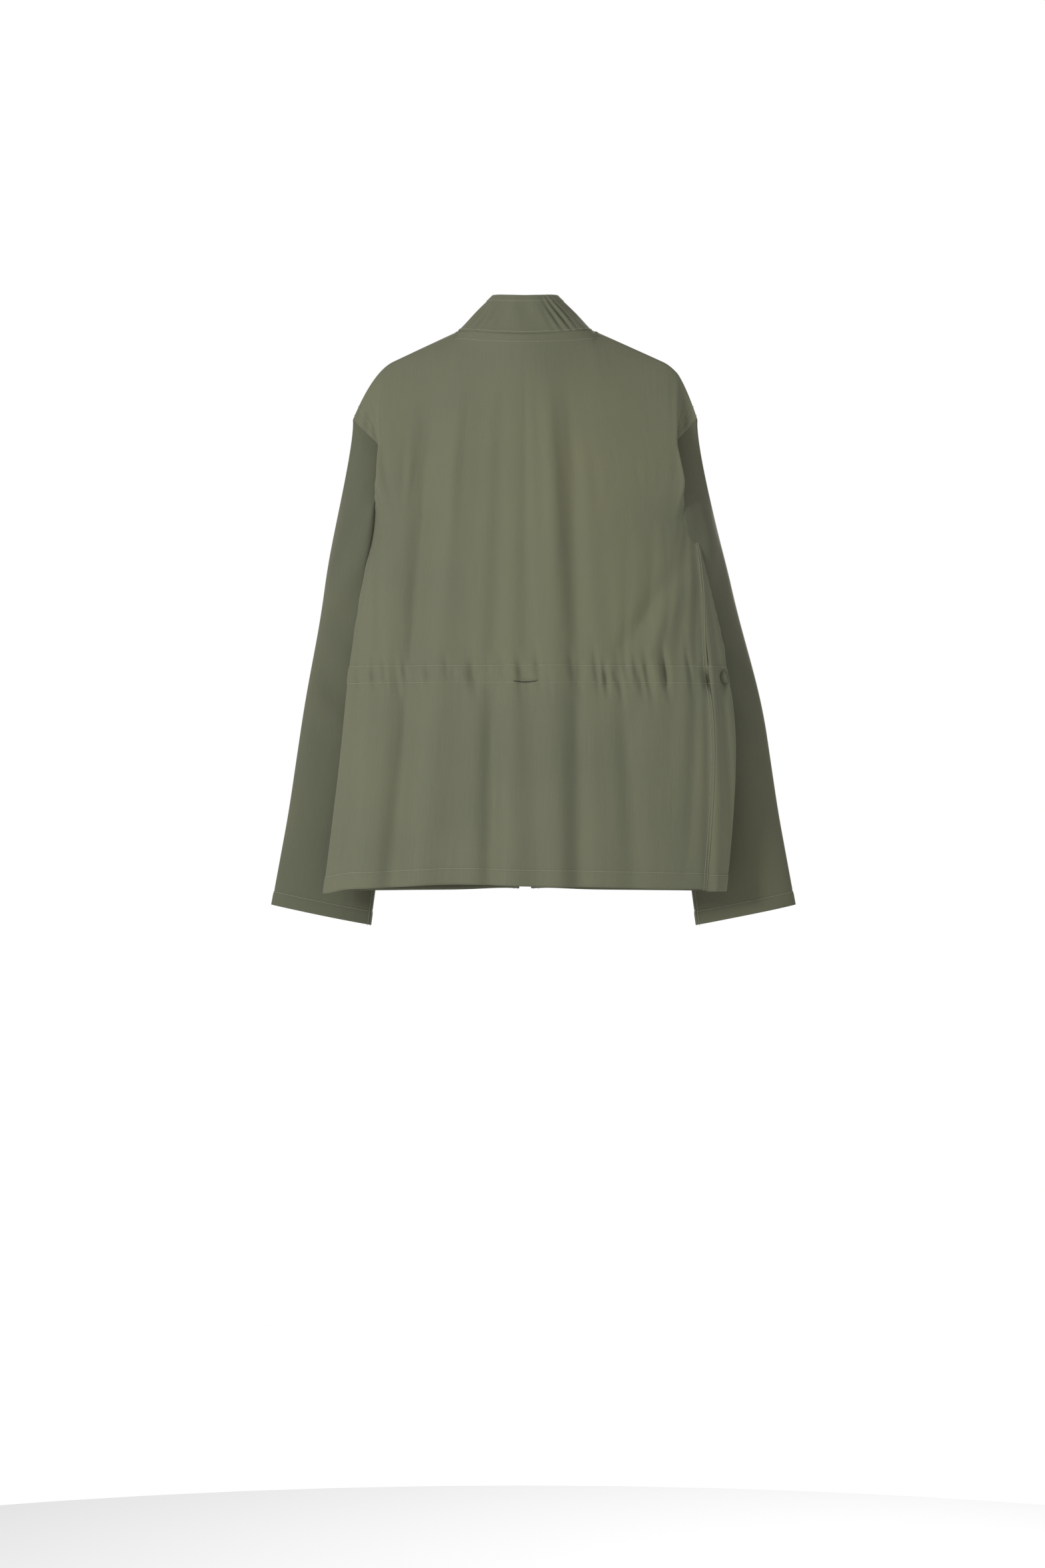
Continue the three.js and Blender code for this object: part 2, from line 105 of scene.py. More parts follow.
# %% Shader expressions
class Sock:
    def __init__(self, tree, socket):
        self.tree, self.socket = tree, socket

    def _math(self, operation, a, b):
        return Sock.node(self.tree, "ShaderNodeMath", {"operation": operation}, {0: a, 1: b})

    def __add__(self, other): return self._math("ADD", self, other)
    def __radd__(self, other): return self._math("ADD", other, self)
    def __sub__(self, other): return self._math("SUBTRACT", self, other)
    def __rsub__(self, other): return self._math("SUBTRACT", other, self)
    def __mul__(self, other): return self._math("MULTIPLY", self, other)
    def __rmul__(self, other): return self._math("MULTIPLY", other, self)

    def sine(self):
        return Sock.node(self.tree, "ShaderNodeMath", {"operation": "SINE"}, {0: self})

    @staticmethod
    def node(tree, kind, settings=None, inputs=None, out=0):
        made = tree.nodes.new(kind)
        for key, value in (settings or {}).items():
            if key == "stops":
                ramp = made.color_ramp.elements
                for i, (at, grey) in enumerate(value):
                    stop = ramp[i] if i < len(ramp) else ramp.new(at)
                    stop.position = at
                    stop.color = (grey, grey, grey, 1) if isinstance(grey, (int, float)) else (*grey, 1)
            else:
                setattr(made, key, value)
        for key, value in (inputs or {}).items():
            socket = made.inputs[key]
            if isinstance(value, Sock):
                tree.links.new(value.socket, socket)
            else:
                socket.default_value = value
        return Sock(tree, made.outputs[out])


def new_material(name):
    material = bpy.data.materials.new(name)
    material.use_nodes = True
    tree = material.node_tree
    return material, tree, tree.nodes["Principled BSDF"]


def plug_in(tree, value, socket):
    tree.links.new(value.socket, socket)


def components(tree, place):
    apart = tree.nodes.new("ShaderNodeSeparateXYZ")
    plug_in(tree, place, apart.inputs[0])
    return [Sock(tree, out) for out in apart.outputs]


def noise(tree, place, scale, detail, **more):
    given = {"Vector": place, "Scale": scale, "Detail": detail, **more}
    return Sock.node(tree, "ShaderNodeTexNoise", {}, given)


def stretched(tree, place, scale):
    return Sock.node(tree, "ShaderNodeMapping", {}, {"Vector": place, "Scale": scale})


def raised_by(tree, height, strength, distance, **more):
    given = {"Strength": strength, "Distance": distance, "Height": height, **more}
    return Sock.node(tree, "ShaderNodeBump", {}, given)


def tinted(tree, amount, stops):
    return Sock.node(tree, "ShaderNodeValToRGB", {"stops": stops}, {"Fac": amount})


print("shader helper ready")

# %% [markdown]
# The backdrop is plain white. Its light on the cloth is turned down to under a half of the white that
# shows, because an even light from everywhere would wash the folds out.

# %% White sky
SKY_LIGHT = 0.45
world = bpy.data.worlds.new("sky")
world.use_nodes = True
background = world.node_tree.nodes["Background"]
background.inputs["Color"].default_value = (1, 1, 1, 1)
seen_directly = Sock.node(world.node_tree, "ShaderNodeLightPath", out="Is Camera Ray")
plug_in(world.node_tree, SKY_LIGHT + seen_directly * (1 - SKY_LIGHT), background.inputs["Strength"])
scene.world = world
print("sky light", SKY_LIGHT)

# %% [markdown]
# The garment's shape is a rule. A height gives the body its half width, a turn round it gives a point
# between the back and the front, and above the underarm the sections open out into the armhole, the neck
# and the shoulder line. The sections are lens-shaped rather than oval, because a jacket on a hanger hangs
# nearly flat and its sides are folded edges. Everything below is in millimetres until it becomes a mesh.

# %% The body's rule
HEM_Z, HEM_HALF, HEM_BACK, HEM_FRONT = -720.0, 264.0, 70.0, 75.0
UNDERARM_Z, UNDERARM_V = -240.0, 0.66
SHOULDER_X, SHOULDER_Z = 225.0, -108.0
NECK_HALF, NECK_BACK, NECK_FRONT = 87.0, 45.0, 58.0
NECK_SIDE_Z, NECK_FRONT_Z = 8.0, -60.0
FOLD_X, FOLD_U, FOLD_Z = 191.0, 0.849, -141.0  # the edge where the back falls over the armhole
FOLD_BACK = 24.0  # how far that edge stands to the back
UNDERARM_BACK = 58.0
NECK_SPREAD, NECK_SHARPNESS = 78.0, 24  # how softly the neck's depth runs out into the shoulders
ZIP_EDGE = 7.0
BODY_RISE = UNDERARM_Z - HEM_Z  # from the hem to the underarm
WAIST_Z, WAIST_HALF = -441.0, 11.0
LENS = 0.42  # 0 is an oval section, 1 is a pointed lens
HANDS = ((1, "left"), (-1, "right"))  # the wearer's hands, with the sign of x on that side


def mix(a, b, t):
    return a + (b - a) * t


def smooth(t):
    t = np.clip(t, 0, 1)
    return t * t * (3 - 2 * t)


def bump(x, middle, width):
    return np.exp(-(((x - middle) / width) ** 2))


def full_turn(steps):
    """Angles all the way round, without the first one again at the end."""
    return np.linspace(0, 2 * math.pi, steps + 1)[:-1]


def body_half(z):
    return HEM_HALF - (HEM_HALF - FOLD_X) * ((z - HEM_Z) / (FOLD_Z - HEM_Z)) ** 2


def curve(stations, q):
    """A smooth curve through (q, value) stations."""
    at, value = np.array(stations, float).T
    fine = np.linspace(0, 1, 401)
    coarse = np.interp(fine, at, value)
    reach = 24  # of the fine steps, to each side
    padded = np.pad(coarse, reach, mode="reflect", reflect_type="odd")
    soft = np.convolve(padded, np.ones(2 * reach + 1) / (2 * reach + 1), "valid")
    return np.interp(q, fine, soft)


LEAN_Z = (-720, -650, -560, -500, -427, -325, -267, -217, -141, -60)
LEAN_LEFT = (0, -9, -16, -17, -16, -17, -18, -15, 0, 0)
LEAN_RIGHT = (0, 8, 18, 22, 20, 12, 7, 5, 7, 8)


def side_half(side, z):
    """The half width on one side: the waist is a little slimmer on the left and fuller on the right."""
    q = (np.array(LEAN_Z, float) - HEM_Z) / (LEAN_Z[-1] - HEM_Z)
    at = np.clip((z - HEM_Z) / (LEAN_Z[-1] - HEM_Z), 0, 1)
    lean = curve(list(zip(q, LEAN_LEFT if side > 0 else LEAN_RIGHT)), at)
    return np.where(z < FOLD_Z, body_half(z), FOLD_X) + lean


def depth(face, z):
    back = mix(HEM_BACK, UNDERARM_BACK, (z - HEM_Z) / (UNDERARM_Z - HEM_Z))
    front = mix(HEM_FRONT, NECK_FRONT, (z - HEM_Z) / (NECK_FRONT_Z - HEM_Z))
    return np.where(face > 0, back, front)


def seam_turn(side, z):
    """Where the side seam lies round the body: on the right it is pulled to the back below the armhole."""
    drop = smooth((UNDERARM_Z - z) / 200.0)
    return math.pi / 2 + drop * np.where(side > 0, 0.12, -0.30)


def lens(turn):
    peak = 1 - np.abs(turn - math.pi / 2) / (math.pi / 2)
    return mix(np.sin(turn), peak, LENS)


def armhole(face, q):
    """The armhole seam from the underarm (q = 0) to the top of the sleeve (q = 1)."""
    x = curve([(0, 209), (0.18, 196), (0.4, 183), (0.6, 182), (0.75, 191), (0.88, 209), (1, SHOULDER_X)], q)
    back = curve([(0, 0), (0.3, 6), (0.6, 2), (1, 0)], q)
    front = curve([(0, 0), (0.3, -36), (0.6, -40), (0.85, -22), (1, 0)], q)
    z = mix(UNDERARM_Z, SHOULDER_Z, q)
    return x, np.where(face > 0, back, front), z


def top_line(face, x):
    inside = x < NECK_HALF
    across = np.where(inside, 1 - (x / NECK_HALF) ** 2, 0)
    fall = NECK_SIDE_Z if face > 0 else NECK_SIDE_Z - NECK_FRONT_Z
    past = np.maximum(0, x - 172.0)
    z = np.where(inside, NECK_SIDE_Z - fall * across, NECK_SIDE_Z - 0.47 * (x - NECK_HALF) - 0.0182 * past**2)
    return (NECK_BACK if face > 0 else NECK_FRONT) * np.sqrt(across), z


def cloth_point(face, side, u, v):
    """u runs from the centre line to the side seam or the armhole, v from the hem to the shoulder line."""
    u, v = np.broadcast_arrays(np.asarray(u, float), np.asarray(v, float))
    q = np.clip((v - UNDERARM_V) / (1 - UNDERARM_V), 0, 1)
    low_z = mix(HEM_Z, UNDERARM_Z, np.minimum(v / UNDERARM_V, 1))
    end = seam_turn(side, low_z)
    turn = u * end if face > 0 else math.pi - u * (math.pi - end)
    low_x = side_half(side, low_z) * lens(turn)
    low_y = np.cos(turn) * depth(np.cos(turn), low_z)
    # above the underarm
    top_y, top_z = top_line(face, SHOULDER_X * u)
    high_z = mix(UNDERARM_Z, top_z, q)
    centre_z = mix(UNDERARM_Z, 0.0 if face > 0 else NECK_FRONT_Z, q)
    neck = NECK_BACK if face > 0 else NECK_FRONT
    middle = mix(UNDERARM_BACK, NECK_BACK, q) if face > 0 else depth(-1, centre_z)
    arm_x, arm_y, _ = armhole(face, q)
    t = np.minimum(u / FOLD_U, 1)
    s = np.clip((u - FOLD_U) / (1 - FOLD_U), 0, 1)
    fold_x = side_half(side, high_z)
    x = np.where(u < FOLD_U, fold_x * mix(lens(t * math.pi / 2), t, smooth(q)), mix(fold_x, arm_x, s))
    soft_y = mix(neck * bump(SHOULDER_X * u, 0, NECK_SPREAD), top_y, q**NECK_SHARPNESS)
    if face > 0:
        fold_y = FOLD_BACK * (1 - q**4)
        y_in = fold_y + (mix(middle * np.cos(t * math.pi / 2), soft_y, q**3) * (1 - fold_y / 70 * t))
        y = np.where(u < FOLD_U, y_in - fold_y * (1 - t), mix(fold_y, arm_y, s**0.8))
        x = x + 5.0 * np.sin(math.pi * s) * smooth(q / 0.3) * (1 - q**3)
    else:
        y = -mix(middle * np.cos(u * math.pi / 2), soft_y, q**3) + arm_y * u**3
    # just above the underarm one rule runs over into the other
    above, join = v > UNDERARM_V, smooth(q / 0.3)
    x_join = fold_x * lens((u if face > 0 else 2 - u) * math.pi / 2)
    y_join = face * depth(face, high_z) * np.cos(u * math.pi / 2)
    x = np.where(above, mix(x_join, x, join), low_x)
    y = np.where(above, mix(y_join, y, join), low_y)
    z = np.where(above, high_z, low_z)
    return np.stack([side * x, y, z], axis=-1)


def zip_u(side, v):
    """The u of a front panel's edge beside the zip."""
    u = np.linspace(0, 0.2, 81)
    x = np.abs(cloth_point(-1, side, u, v)[:, 0])
    return float(np.interp(ZIP_EDGE, x, u))


print("half width at the hem", float(body_half(HEM_Z)), "and the underarm", float(body_half(UNDERARM_Z)))

# %% [markdown]
# A sleeve is a flattened tube. It leaves the armhole, turns to hang in front of the body's side and widens
# towards the elbow. Its sections are given as a middle, a half width and a half depth at chosen stations,
# and one smooth curve runs through each of them.

# %% The sleeve's rule
STATIONS = (0, 0.1, 0.2, 0.32, 0.5, 0.75, 1)
MIDDLE_X = (199, 219, 222, 221, 230, 250, 270)
MIDDLE_Y = (-16, -19, -38, -56, -66, -67, -64)
MIDDLE_Z = (-174, -228, -290, -365, -480, -630, -756)
HALF_WIDTH = (16, 26, 38, 50, 62, 64, 67)
HALF_DEPTH = (26, 34, 36, 33, 28, 24, 20)
CUFF_TILT = math.radians(11.6)
SLEEVE_BLEND = 0.17
RIGHT_SPREAD = 22.0  # the right sleeve hangs a little further out


def station_curve(values, t):
    return curve(list(zip(STATIONS, values)), t)


def sleeve_relief(side, turn, t):
    """Folds of the sleeve: long ones down its back, and slanting ones under the arm and at the elbow."""
    back = np.clip(np.sin(turn), 0, 1)
    long_fold = 2.6 * np.sin(3.1 * turn + 2.2 * t + (0.6 if side > 0 else 2.1)) * smooth(t / 0.3)
    arm = 3.0 * np.sin(34 * t + 4.5 * turn * side) * bump(t, 0.2, 0.1)
    elbow = 2.4 * np.sin(46 * t - 3.4 * turn * side) * bump(t, 0.46, 0.1)
    return (long_fold + arm + elbow) * (0.45 + 0.55 * back)


def sleeve_point(side, turn, t):
    """turn is 0 on the outside, a quarter at the back, a half on the inside and three quarters in front."""
    turn, t = np.broadcast_arrays(np.asarray(turn, float), np.asarray(t, float))
    q = np.abs(1 - turn / math.pi)
    ring = np.stack(armhole(1, q), -1)
    ring_front = np.stack(armhole(-1, q), -1)
    ring = np.where((turn <= math.pi)[..., None], ring, ring_front)
    tilt = CUFF_TILT * smooth(t)
    wide = station_curve(HALF_WIDTH, t)
    deep = station_curve(HALF_DEPTH, t)
    relief = sleeve_relief(side, turn, t)
    cos_turn = np.cos(turn)
    flat = np.sign(cos_turn) * np.abs(cos_turn) ** 0.85  # a little squarer than an oval
    spread = RIGHT_SPREAD * smooth((t - 0.03) / 0.55) if side < 0 else 0.0
    x = station_curve(MIDDLE_X, t) + spread + wide * flat * np.cos(tilt)
    y = station_curve(MIDDLE_Y, t) + (deep + relief) * np.sin(turn)
    z = station_curve(MIDDLE_Z, t) + wide * flat * np.sin(tilt)
    # the back of the upper arm faces outwards, away from the body
    y = y - 0.35 * (x - spread - station_curve(MIDDLE_X, t)) * bump(t, 0.22, 0.2)
    point = np.stack([x, y, z], -1)
    point = mix(ring, point, smooth(t / SLEEVE_BLEND)[..., None])
    return beside_body(side, point, t) * np.array([side, 1, 1])


def beside_body(side, point, t):
    """Where a sleeve would run through the body it lies against it instead."""
    x, y, z = np.moveaxis(point, -1, 0)
    clear = 5.0 * smooth(t / 0.1)
    wide = np.where(z < UNDERARM_Z, side_half(side, z), side_half(side, UNDERARM_Z)) + clear
    thick = np.where(y > 0, depth(1, z), depth(-1, z)) + clear
    inside = (np.abs(x) / wide) ** 1.5 + (np.abs(y) / thick) ** 1.5
    push = np.where((z < UNDERARM_Z + 20) & (inside < 1), inside ** (-1 / 1.5), 1)
    push = mix(1, push, smooth((UNDERARM_Z + 20 - z) / 40))
    return np.stack([x * mix(1, push, 0.3), y * push, z], -1)


shoulder_to_cuff = sleeve_point(1, 0, 1.0) - sleeve_point(1, 0, 0.0)
print("sleeve of", round(float(np.linalg.norm(shoulder_to_cuff))), "mm from shoulder to cuff")

# %% [markdown]
# Draping. The back and the two fronts are laid out as grids on the body's rule and welded along the side
# seams and the shoulder line, as they are sewn. Long soft folds are started where the cloth hangs from the
# hanger, and the cut is a few hundredths wider than the hanging shape, so Blender's Cloth has fullness to
# settle into folds. The shoulders, the neck, the armholes and the zip hold it.

# %% The grids of the three panels
COLUMNS, ROWS = 54, 96
V_LINES = np.linspace(0, 1, ROWS + 1)
U_LINES = np.linspace(0, 1, COLUMNS + 1)
FRONT_BLEND = 4  # columns that make room for the zip


FOLD_STRENGTH = 1.85


def fold_relief(x, z):
    """How far the long folds stand out of the back, in millimetres."""
    below = smooth((-30 - z) / 160)
    low = smooth((WAIST_Z - z) / 90)
    high = smooth((z - WAIST_Z) / 40) * below
    relief = -6.5 * bump(x, 112 - 0.085 * z, 17) * below * (1 - 0.45 * bump(z, WAIST_Z, 45))
    relief = relief + 5.0 * bump(x, 192 - 0.03 * z, 36) * below
    relief = relief + 3.6 * bump(x, 84 - 0.075 * z, 24) * below
    relief = relief - 4.2 * bump(x, -60 + 0.012 * z, 15) * below * (1 - 0.5 * bump(z, WAIST_Z, 45))
    relief = relief + 3.6 * bump(x, -30 + 0.02 * z, 26) * below
    relief = relief - 3.4 * bump(x, 44, 13) * low + 3.0 * bump(x, 12, 26) * low
    relief = relief - 3.0 * bump(x, -118 + 0.03 * z, 16) * low
    slant = (x + 155) * 0.83 + (z + 365) * 0.55
    along = -(x + 155) * 0.55 + (z + 365) * 0.83
    relief = relief - 4.0 * bump(slant, 0, 12) * bump(along, 0, 75) * high
    relief = relief + 2.6 * bump(slant, -26, 16) * bump(along, 10, 80) * high
    return FOLD_STRENGTH * relief


def front_relief(x, z):
    below = smooth((-60 - z) / 160)
    relief = -4.0 * bump(x, 178, 16) * below - 3.5 * bump(x, -170, 17) * below
    return relief + 1.2 * bump(x, 24, 12) * below + 1.0 * bump(x, -22, 11) * below


def panel_grid(face, side):
    grid = np.zeros((ROWS + 1, COLUMNS + 1, 3))
    for r, v in enumerate(V_LINES):
        u = U_LINES.copy()
        if face < 0:
            u[:FRONT_BLEND] = mix(zip_u(side, v), u[FRONT_BLEND], np.arange(FRONT_BLEND) / FRONT_BLEND)
        grid[r] = cloth_point(face, side, u, v)
    relief = fold_relief if face > 0 else front_relief
    inward = np.clip((1 - U_LINES) / 0.12, 0, 1) * np.clip(U_LINES / 0.05, 0, 1) ** (0 if face > 0 else 1)
    grid[..., 1] += face * relief(grid[..., 0], grid[..., 2]) * inward
    return grid


back_left, back_right = panel_grid(1, 1), panel_grid(1, -1)
layout = {
    "back": np.concatenate([back_right[:, :0:-1], back_left], axis=1),
    "front_left": panel_grid(-1, 1),
    "front_right": panel_grid(-1, -1),
}
print("panel grids", {name: grid.shape for name, grid in layout.items()})

# %% [markdown]
# Points of two panels that lie at the same place become one point of the drape, which sews the seam. One
# mesh could be draped panel by panel, but then the seams would open.

# %% Sew the grids into one drape
welded, sewn_points, sewn_index = {}, [], {}
for name, grid in layout.items():
    index = np.zeros(grid.shape[:2], int)
    for place in np.ndindex(*grid.shape[:2]):
        key = tuple(np.round(grid[place], 1))
        if key not in welded:
            welded[key] = len(sewn_points)
            sewn_points.append(grid[place])
        index[place] = welded[key]
    sewn_index[name] = index
sewn_points = np.array(sewn_points)


def closed(grid):
    """The same grid with its first column repeated at its end, so that it goes all the way round."""
    return np.concatenate([grid, grid[:, :1]], axis=1)


def grid_faces(index, flip):
    a, b, c, d = index[:-1, :-1], index[:-1, 1:], index[1:, 1:], index[1:, :-1]
    faces = np.stack([a, d, c, b] if flip else [a, b, c, d], axis=-1).reshape(-1, 4)
    return [tuple(int(i) for i in face) for face in faces if len(set(face)) == 4]


sewn_faces = []
for name, flip in (("back", True), ("front_left", True), ("front_right", False)):
    sewn_faces += grid_faces(sewn_index[name], flip)
drape = bpy.data.meshes.new("drape")
drape.from_pydata(sewn_points * MM, [], sewn_faces)
drape.validate()
drape_obj = set_out("drape", drape)
print("drape of", len(sewn_points), "points and", len(sewn_faces), "faces")

# %% [markdown]
# How firmly each point is held is a weight. It is 1 along the shoulders, the neck, the armholes and the
# zip, and a few hundredths elsewhere, which stands for the stiffness that keeps a new jacket near its shape.

# %% Hold it and let it fall
FULLNESS = 0.05
DRAPE_FRAMES = 36
SAG_PASSES = 120
WRINKLE_CAP = 7.0
FRONT_WRINKLES = 0.3
BACK_WRINKLES = 0.45


def hold_weight(face, u, v):
    edge = max(0.0, 1 - (1 - v) / 0.05)
    arm = max(0.0, 1 - (1 - u) / 0.06) if v > UNDERARM_V else 0.0
    zip_side = 1.0 if face < 0 and u < 0.04 else 0.0
    upper = 0.25 * float(smooth((v - 0.72) / 0.2))
    return min(1.0, max(edge, arm, zip_side, upper, 0.12))


group = drape_obj.vertex_groups.new(name="held")
for name, index in sewn_index.items():
    face = 1 if name == "back" else -1
    for r in range(index.shape[0]):
        for c in range(index.shape[1]):
            u = abs(c - COLUMNS) / COLUMNS if face > 0 else c / COLUMNS
            i = int(index[r, c])
            group.add([i], hold_weight(face, u, V_LINES[r]), "REPLACE")
drape_obj.shape_key_add(name="hanging")
cut = drape_obj.shape_key_add(name="cut")
gather = 1 - 1.2 * np.exp(-(((sewn_points[:, 2] - WAIST_Z) / 16) ** 2))
free = smooth((-60 - sewn_points[:, 2]) / 200)
wide = sewn_points.copy()
wide[:, 0] *= 1 + FULLNESS * free * gather
cut.data.foreach_set("co", (wide * MM).ravel())
cut.value = 0
cloth = drape_obj.modifiers.new("cloth", "CLOTH")
cloth.settings.quality = 6
cloth.settings.mass = 0.25
cloth.settings.tension_stiffness = 12
cloth.settings.compression_stiffness = 12
cloth.settings.shear_stiffness = 4
cloth.settings.bending_stiffness = 0.6
cloth.settings.bending_damping = 0.5
cloth.settings.air_damping = 3
cloth.settings.vertex_group_mass = "held"
cloth.settings.pin_stiffness = 0.6
cloth.settings.rest_shape_key = cut
cloth.collision_settings.use_collision = False
cloth.collision_settings.use_self_collision = False
cloth.point_cache.frame_start = 1
cloth.point_cache.frame_end = DRAPE_FRAMES
for step in range(1, DRAPE_FRAMES + 1):
    scene.frame_set(step)
seen = drape_obj.evaluated_get(bpy.context.evaluated_depsgraph_get())
hung = np.zeros(len(sewn_points) * 3)
seen.data.vertices.foreach_get("co", hung)
hung = hung.reshape(-1, 3) / MM
scene.frame_set(1)

# The slow sag is taken off again, so the outline stays as it hung, and the wrinkles are kept.
edges = np.array([e.vertices[:] for e in drape.edges])
count = np.bincount(edges.ravel(), minlength=len(sewn_points))[:, None]
delta = hung - sewn_points
sag = delta.copy()
for _ in range(SAG_PASSES):
    total = np.zeros_like(sag)
    np.add.at(total, edges[:, 0], sag[edges[:, 1]])
    np.add.at(total, edges[:, 1], sag[edges[:, 0]])
    sag = 0.5 * sag + 0.5 * total / np.maximum(count, 1)
wrinkle = delta - sag
wrinkle[:, 1] = np.clip(wrinkle[:, 1], -WRINKLE_CAP, WRINKLE_CAP)
wrinkle[:, [0, 2]] *= 0.5
in_front = smooth((-sewn_points[:, 1] - 10) / 20)[:, None]  # the pockets keep the fronts flat
wrinkle *= mix(BACK_WRINKLES, FRONT_WRINKLES, in_front)
hung = sewn_points + wrinkle
for label, move in (("sag", sag), ("wrinkles", wrinkle)):
    size = np.linalg.norm(move, axis=1)
    print(label, "of", round(float(size.mean()), 2), "mm on average,", round(float(size.max()), 2), "at most")
panels = {name: hung[index] for name, index in sewn_index.items()}
bpy.data.objects.remove(drape_obj)

# %% [markdown]
# The draped grids are coarse, so each is made twice as fine along smooth curves before small things are
# shaped on it: the puckers that the drawcord pulls along the waist, the raised channel that holds it, the
# turned-up hem and the ridges of the seams.

# %% A finer grid, and its normals
def finer(grid):
    """Puts a point between each pair of neighbours, on a smooth curve through the four nearest."""
    for axis in (0, 1):
        g = np.moveaxis(grid, axis, 0)
        pad = np.concatenate([2 * g[:1] - g[1:2], g, 2 * g[-1:] - g[-2:-1]])
        between = (9 * (pad[1:-2] + pad[2:-1]) - (pad[:-3] + pad[3:])) / 16
        out = np.empty((2 * len(g) - 1,) + g.shape[1:])
        out[::2], out[1::2] = g, between
        grid = np.moveaxis(out, 0, axis)
    return grid


def normals(grid, outward):
    along = np.gradient(grid, axis=1)
    up = np.gradient(grid, axis=0)
    n = np.cross(along, up)
    n = n / np.maximum(np.linalg.norm(n, axis=-1, keepdims=True), 1e-9)
    return n * outward


OUTWARD = {"back": -1, "front_left": 1, "front_right": -1}
panels = {name: finer(grid) for name, grid in panels.items()}
for name, grid in panels.items():
    middle = normals(grid, OUTWARD[name])[grid.shape[0] // 3, grid.shape[1] // 2]
    if (middle[1] > 0) != (name == "back"):
        OUTWARD[name] *= -1
print("outward signs", OUTWARD)

# %% Puckers, channel and hem
rng = np.random.default_rng(7)
pucker_x = np.sort(rng.uniform(-262, 262, 64))
pucker_size = rng.uniform(0.35, 1.0, 64) * np.where(pucker_x < -60, 1.5, 0.8)
pucker_reach = rng.uniform(9, 26, 64)
pucker_shift = rng.uniform(-9, 9, 64)
pucker_x = np.append(pucker_x, (128, 68, 60, -236))
pucker_size = np.append(pucker_size, (1.3, 1.2, 0.8, 1.4))
pucker_reach = np.append(pucker_reach, (17, 15, 12, 15))
pucker_shift = np.append(pucker_shift, (0, 2, -6, -4))

SEAM_RIPPLE = 0.7  # the felled armhole seam draws the cloth up into small ripples
HEM_TURN, HEM_STITCH = 22.0, 21.0  # millimetres up from the hem
CUFF_TURN, CUFF_STITCH, SLEEVE_LENGTH = 23.0, 22.0, 640.0


def waist_relief(x, z):
    """The band that holds the drawcord, gathered into small upright creases."""
    band = smooth((WAIST_HALF + 1.5 - np.abs(z - WAIST_Z)) / 3.5)
    relief = 1.0 * band
    for at, size, reach, shift in zip(pucker_x, pucker_size, pucker_reach, pucker_shift):
        near = np.abs(x - at) < 16
        crease = size * bump(x, at + 0.12 * (z - WAIST_Z), 3.9) * bump(z, WAIST_Z + shift, reach)
        relief = relief - np.where(near, 3.0 * crease, 0)
    stitched = bump(z, WAIST_Z + WAIST_HALF, 2.2) + bump(z, WAIST_Z - WAIST_HALF, 2.2)
    return relief - 0.3 * stitched


def turned_edge(above, turn, stitch):
    """The double cloth of a turned-up edge, with the furrow that its row of stitches pulls in."""
    return 0.7 * smooth((turn - above) / 2.5) - 0.5 * bump(above, stitch, 2.0)


def hem_rise(name, x):
    """The back hem is lifted a little between its corners, and the fronts hang just below it."""
    if name == "back":
        return 7.0 * bump(x, 95, 90) + 4.0 * bump(x, -60, 110) - 6.0 * smooth((np.abs(x) - 225) / 40)
    return -3.0 + 2.0 * bump(np.abs(x), 30, 40)


for name, grid in panels.items():
    n = normals(grid, OUTWARD[name])
    x, z = grid[..., 0], grid[..., 2].copy()
    lift = waist_relief(x if name == "back" else x * 1.07 + 40, z)
    rows_up = np.linspace(0, 1, grid.shape[0])[:, None] * np.ones_like(x)
    above_hem = rows_up * BODY_RISE / UNDERARM_V
    lift = lift + turned_edge(above_hem, HEM_TURN, HEM_STITCH)
    column, row = np.arange(grid.shape[1])[None, :], np.arange(grid.shape[0])[:, None]
    to_edge = grid.shape[1] - 1 - column
    if name == "back":
        to_edge = np.minimum(column, to_edge)
    ripple = SEAM_RIPPLE * np.sin(0.95 * row) * bump(to_edge, 2.5, 2.5)
    lift = lift + ripple * smooth((row - UNDERARM_V * 2 * ROWS) / 8)
    grid += n * lift[..., None]
    grid[..., 2] += hem_rise(name, x) * smooth((160 - above_hem) / 160)
print("waist gathered with", len(pucker_x), "puckers")


# %% [markdown]
# A cloth piece is one grid turned into a mesh, with a UV map in metres so that the weave keeps its scale
# and follows the cloth, and a thin wall added inwards.

# %% Cloth pieces
CLOTH_WALL = 0.9


def lay_uv(grid):
    """Flat cloth coordinates: distances along the middle row and up the middle column, in metres."""
    r, c = grid.shape[0] // 2, grid.shape[1] // 2
    across = np.concatenate([[0], np.cumsum(np.linalg.norm(np.diff(grid[r], axis=0), axis=1))])
    up = np.concatenate([[0], np.cumsum(np.linalg.norm(np.diff(grid[:, c], axis=0), axis=1))])
    return np.stack(np.broadcast_arrays(across[None, :], up[:, None]), -1) * MM


def shade(mesh, rounded_over):
    """Shades a mesh's faces as one round surface, or as flat facets."""
    mesh.polygons.foreach_set("use_smooth", np.full(len(mesh.polygons), rounded_over))


def object_from(name, points, faces, material, uv=None):
    mesh = bpy.data.meshes.new(name)
    mesh.from_pydata(np.asarray(points) * MM, [], faces)
    mesh.validate()
    if uv is not None:
        layer = mesh.uv_layers.new(name="cloth")
        loops = np.zeros(len(mesh.loops), int)
        mesh.loops.foreach_get("vertex_index", loops)
        layer.data.foreach_set("uv", np.asarray(uv)[loops].ravel())
    shade(mesh, True)
    mesh.materials.append(material)
    return set_out(name, mesh)


TO_BACK, TO_FRONT = (0, 1, 0), (0, -1, 0)


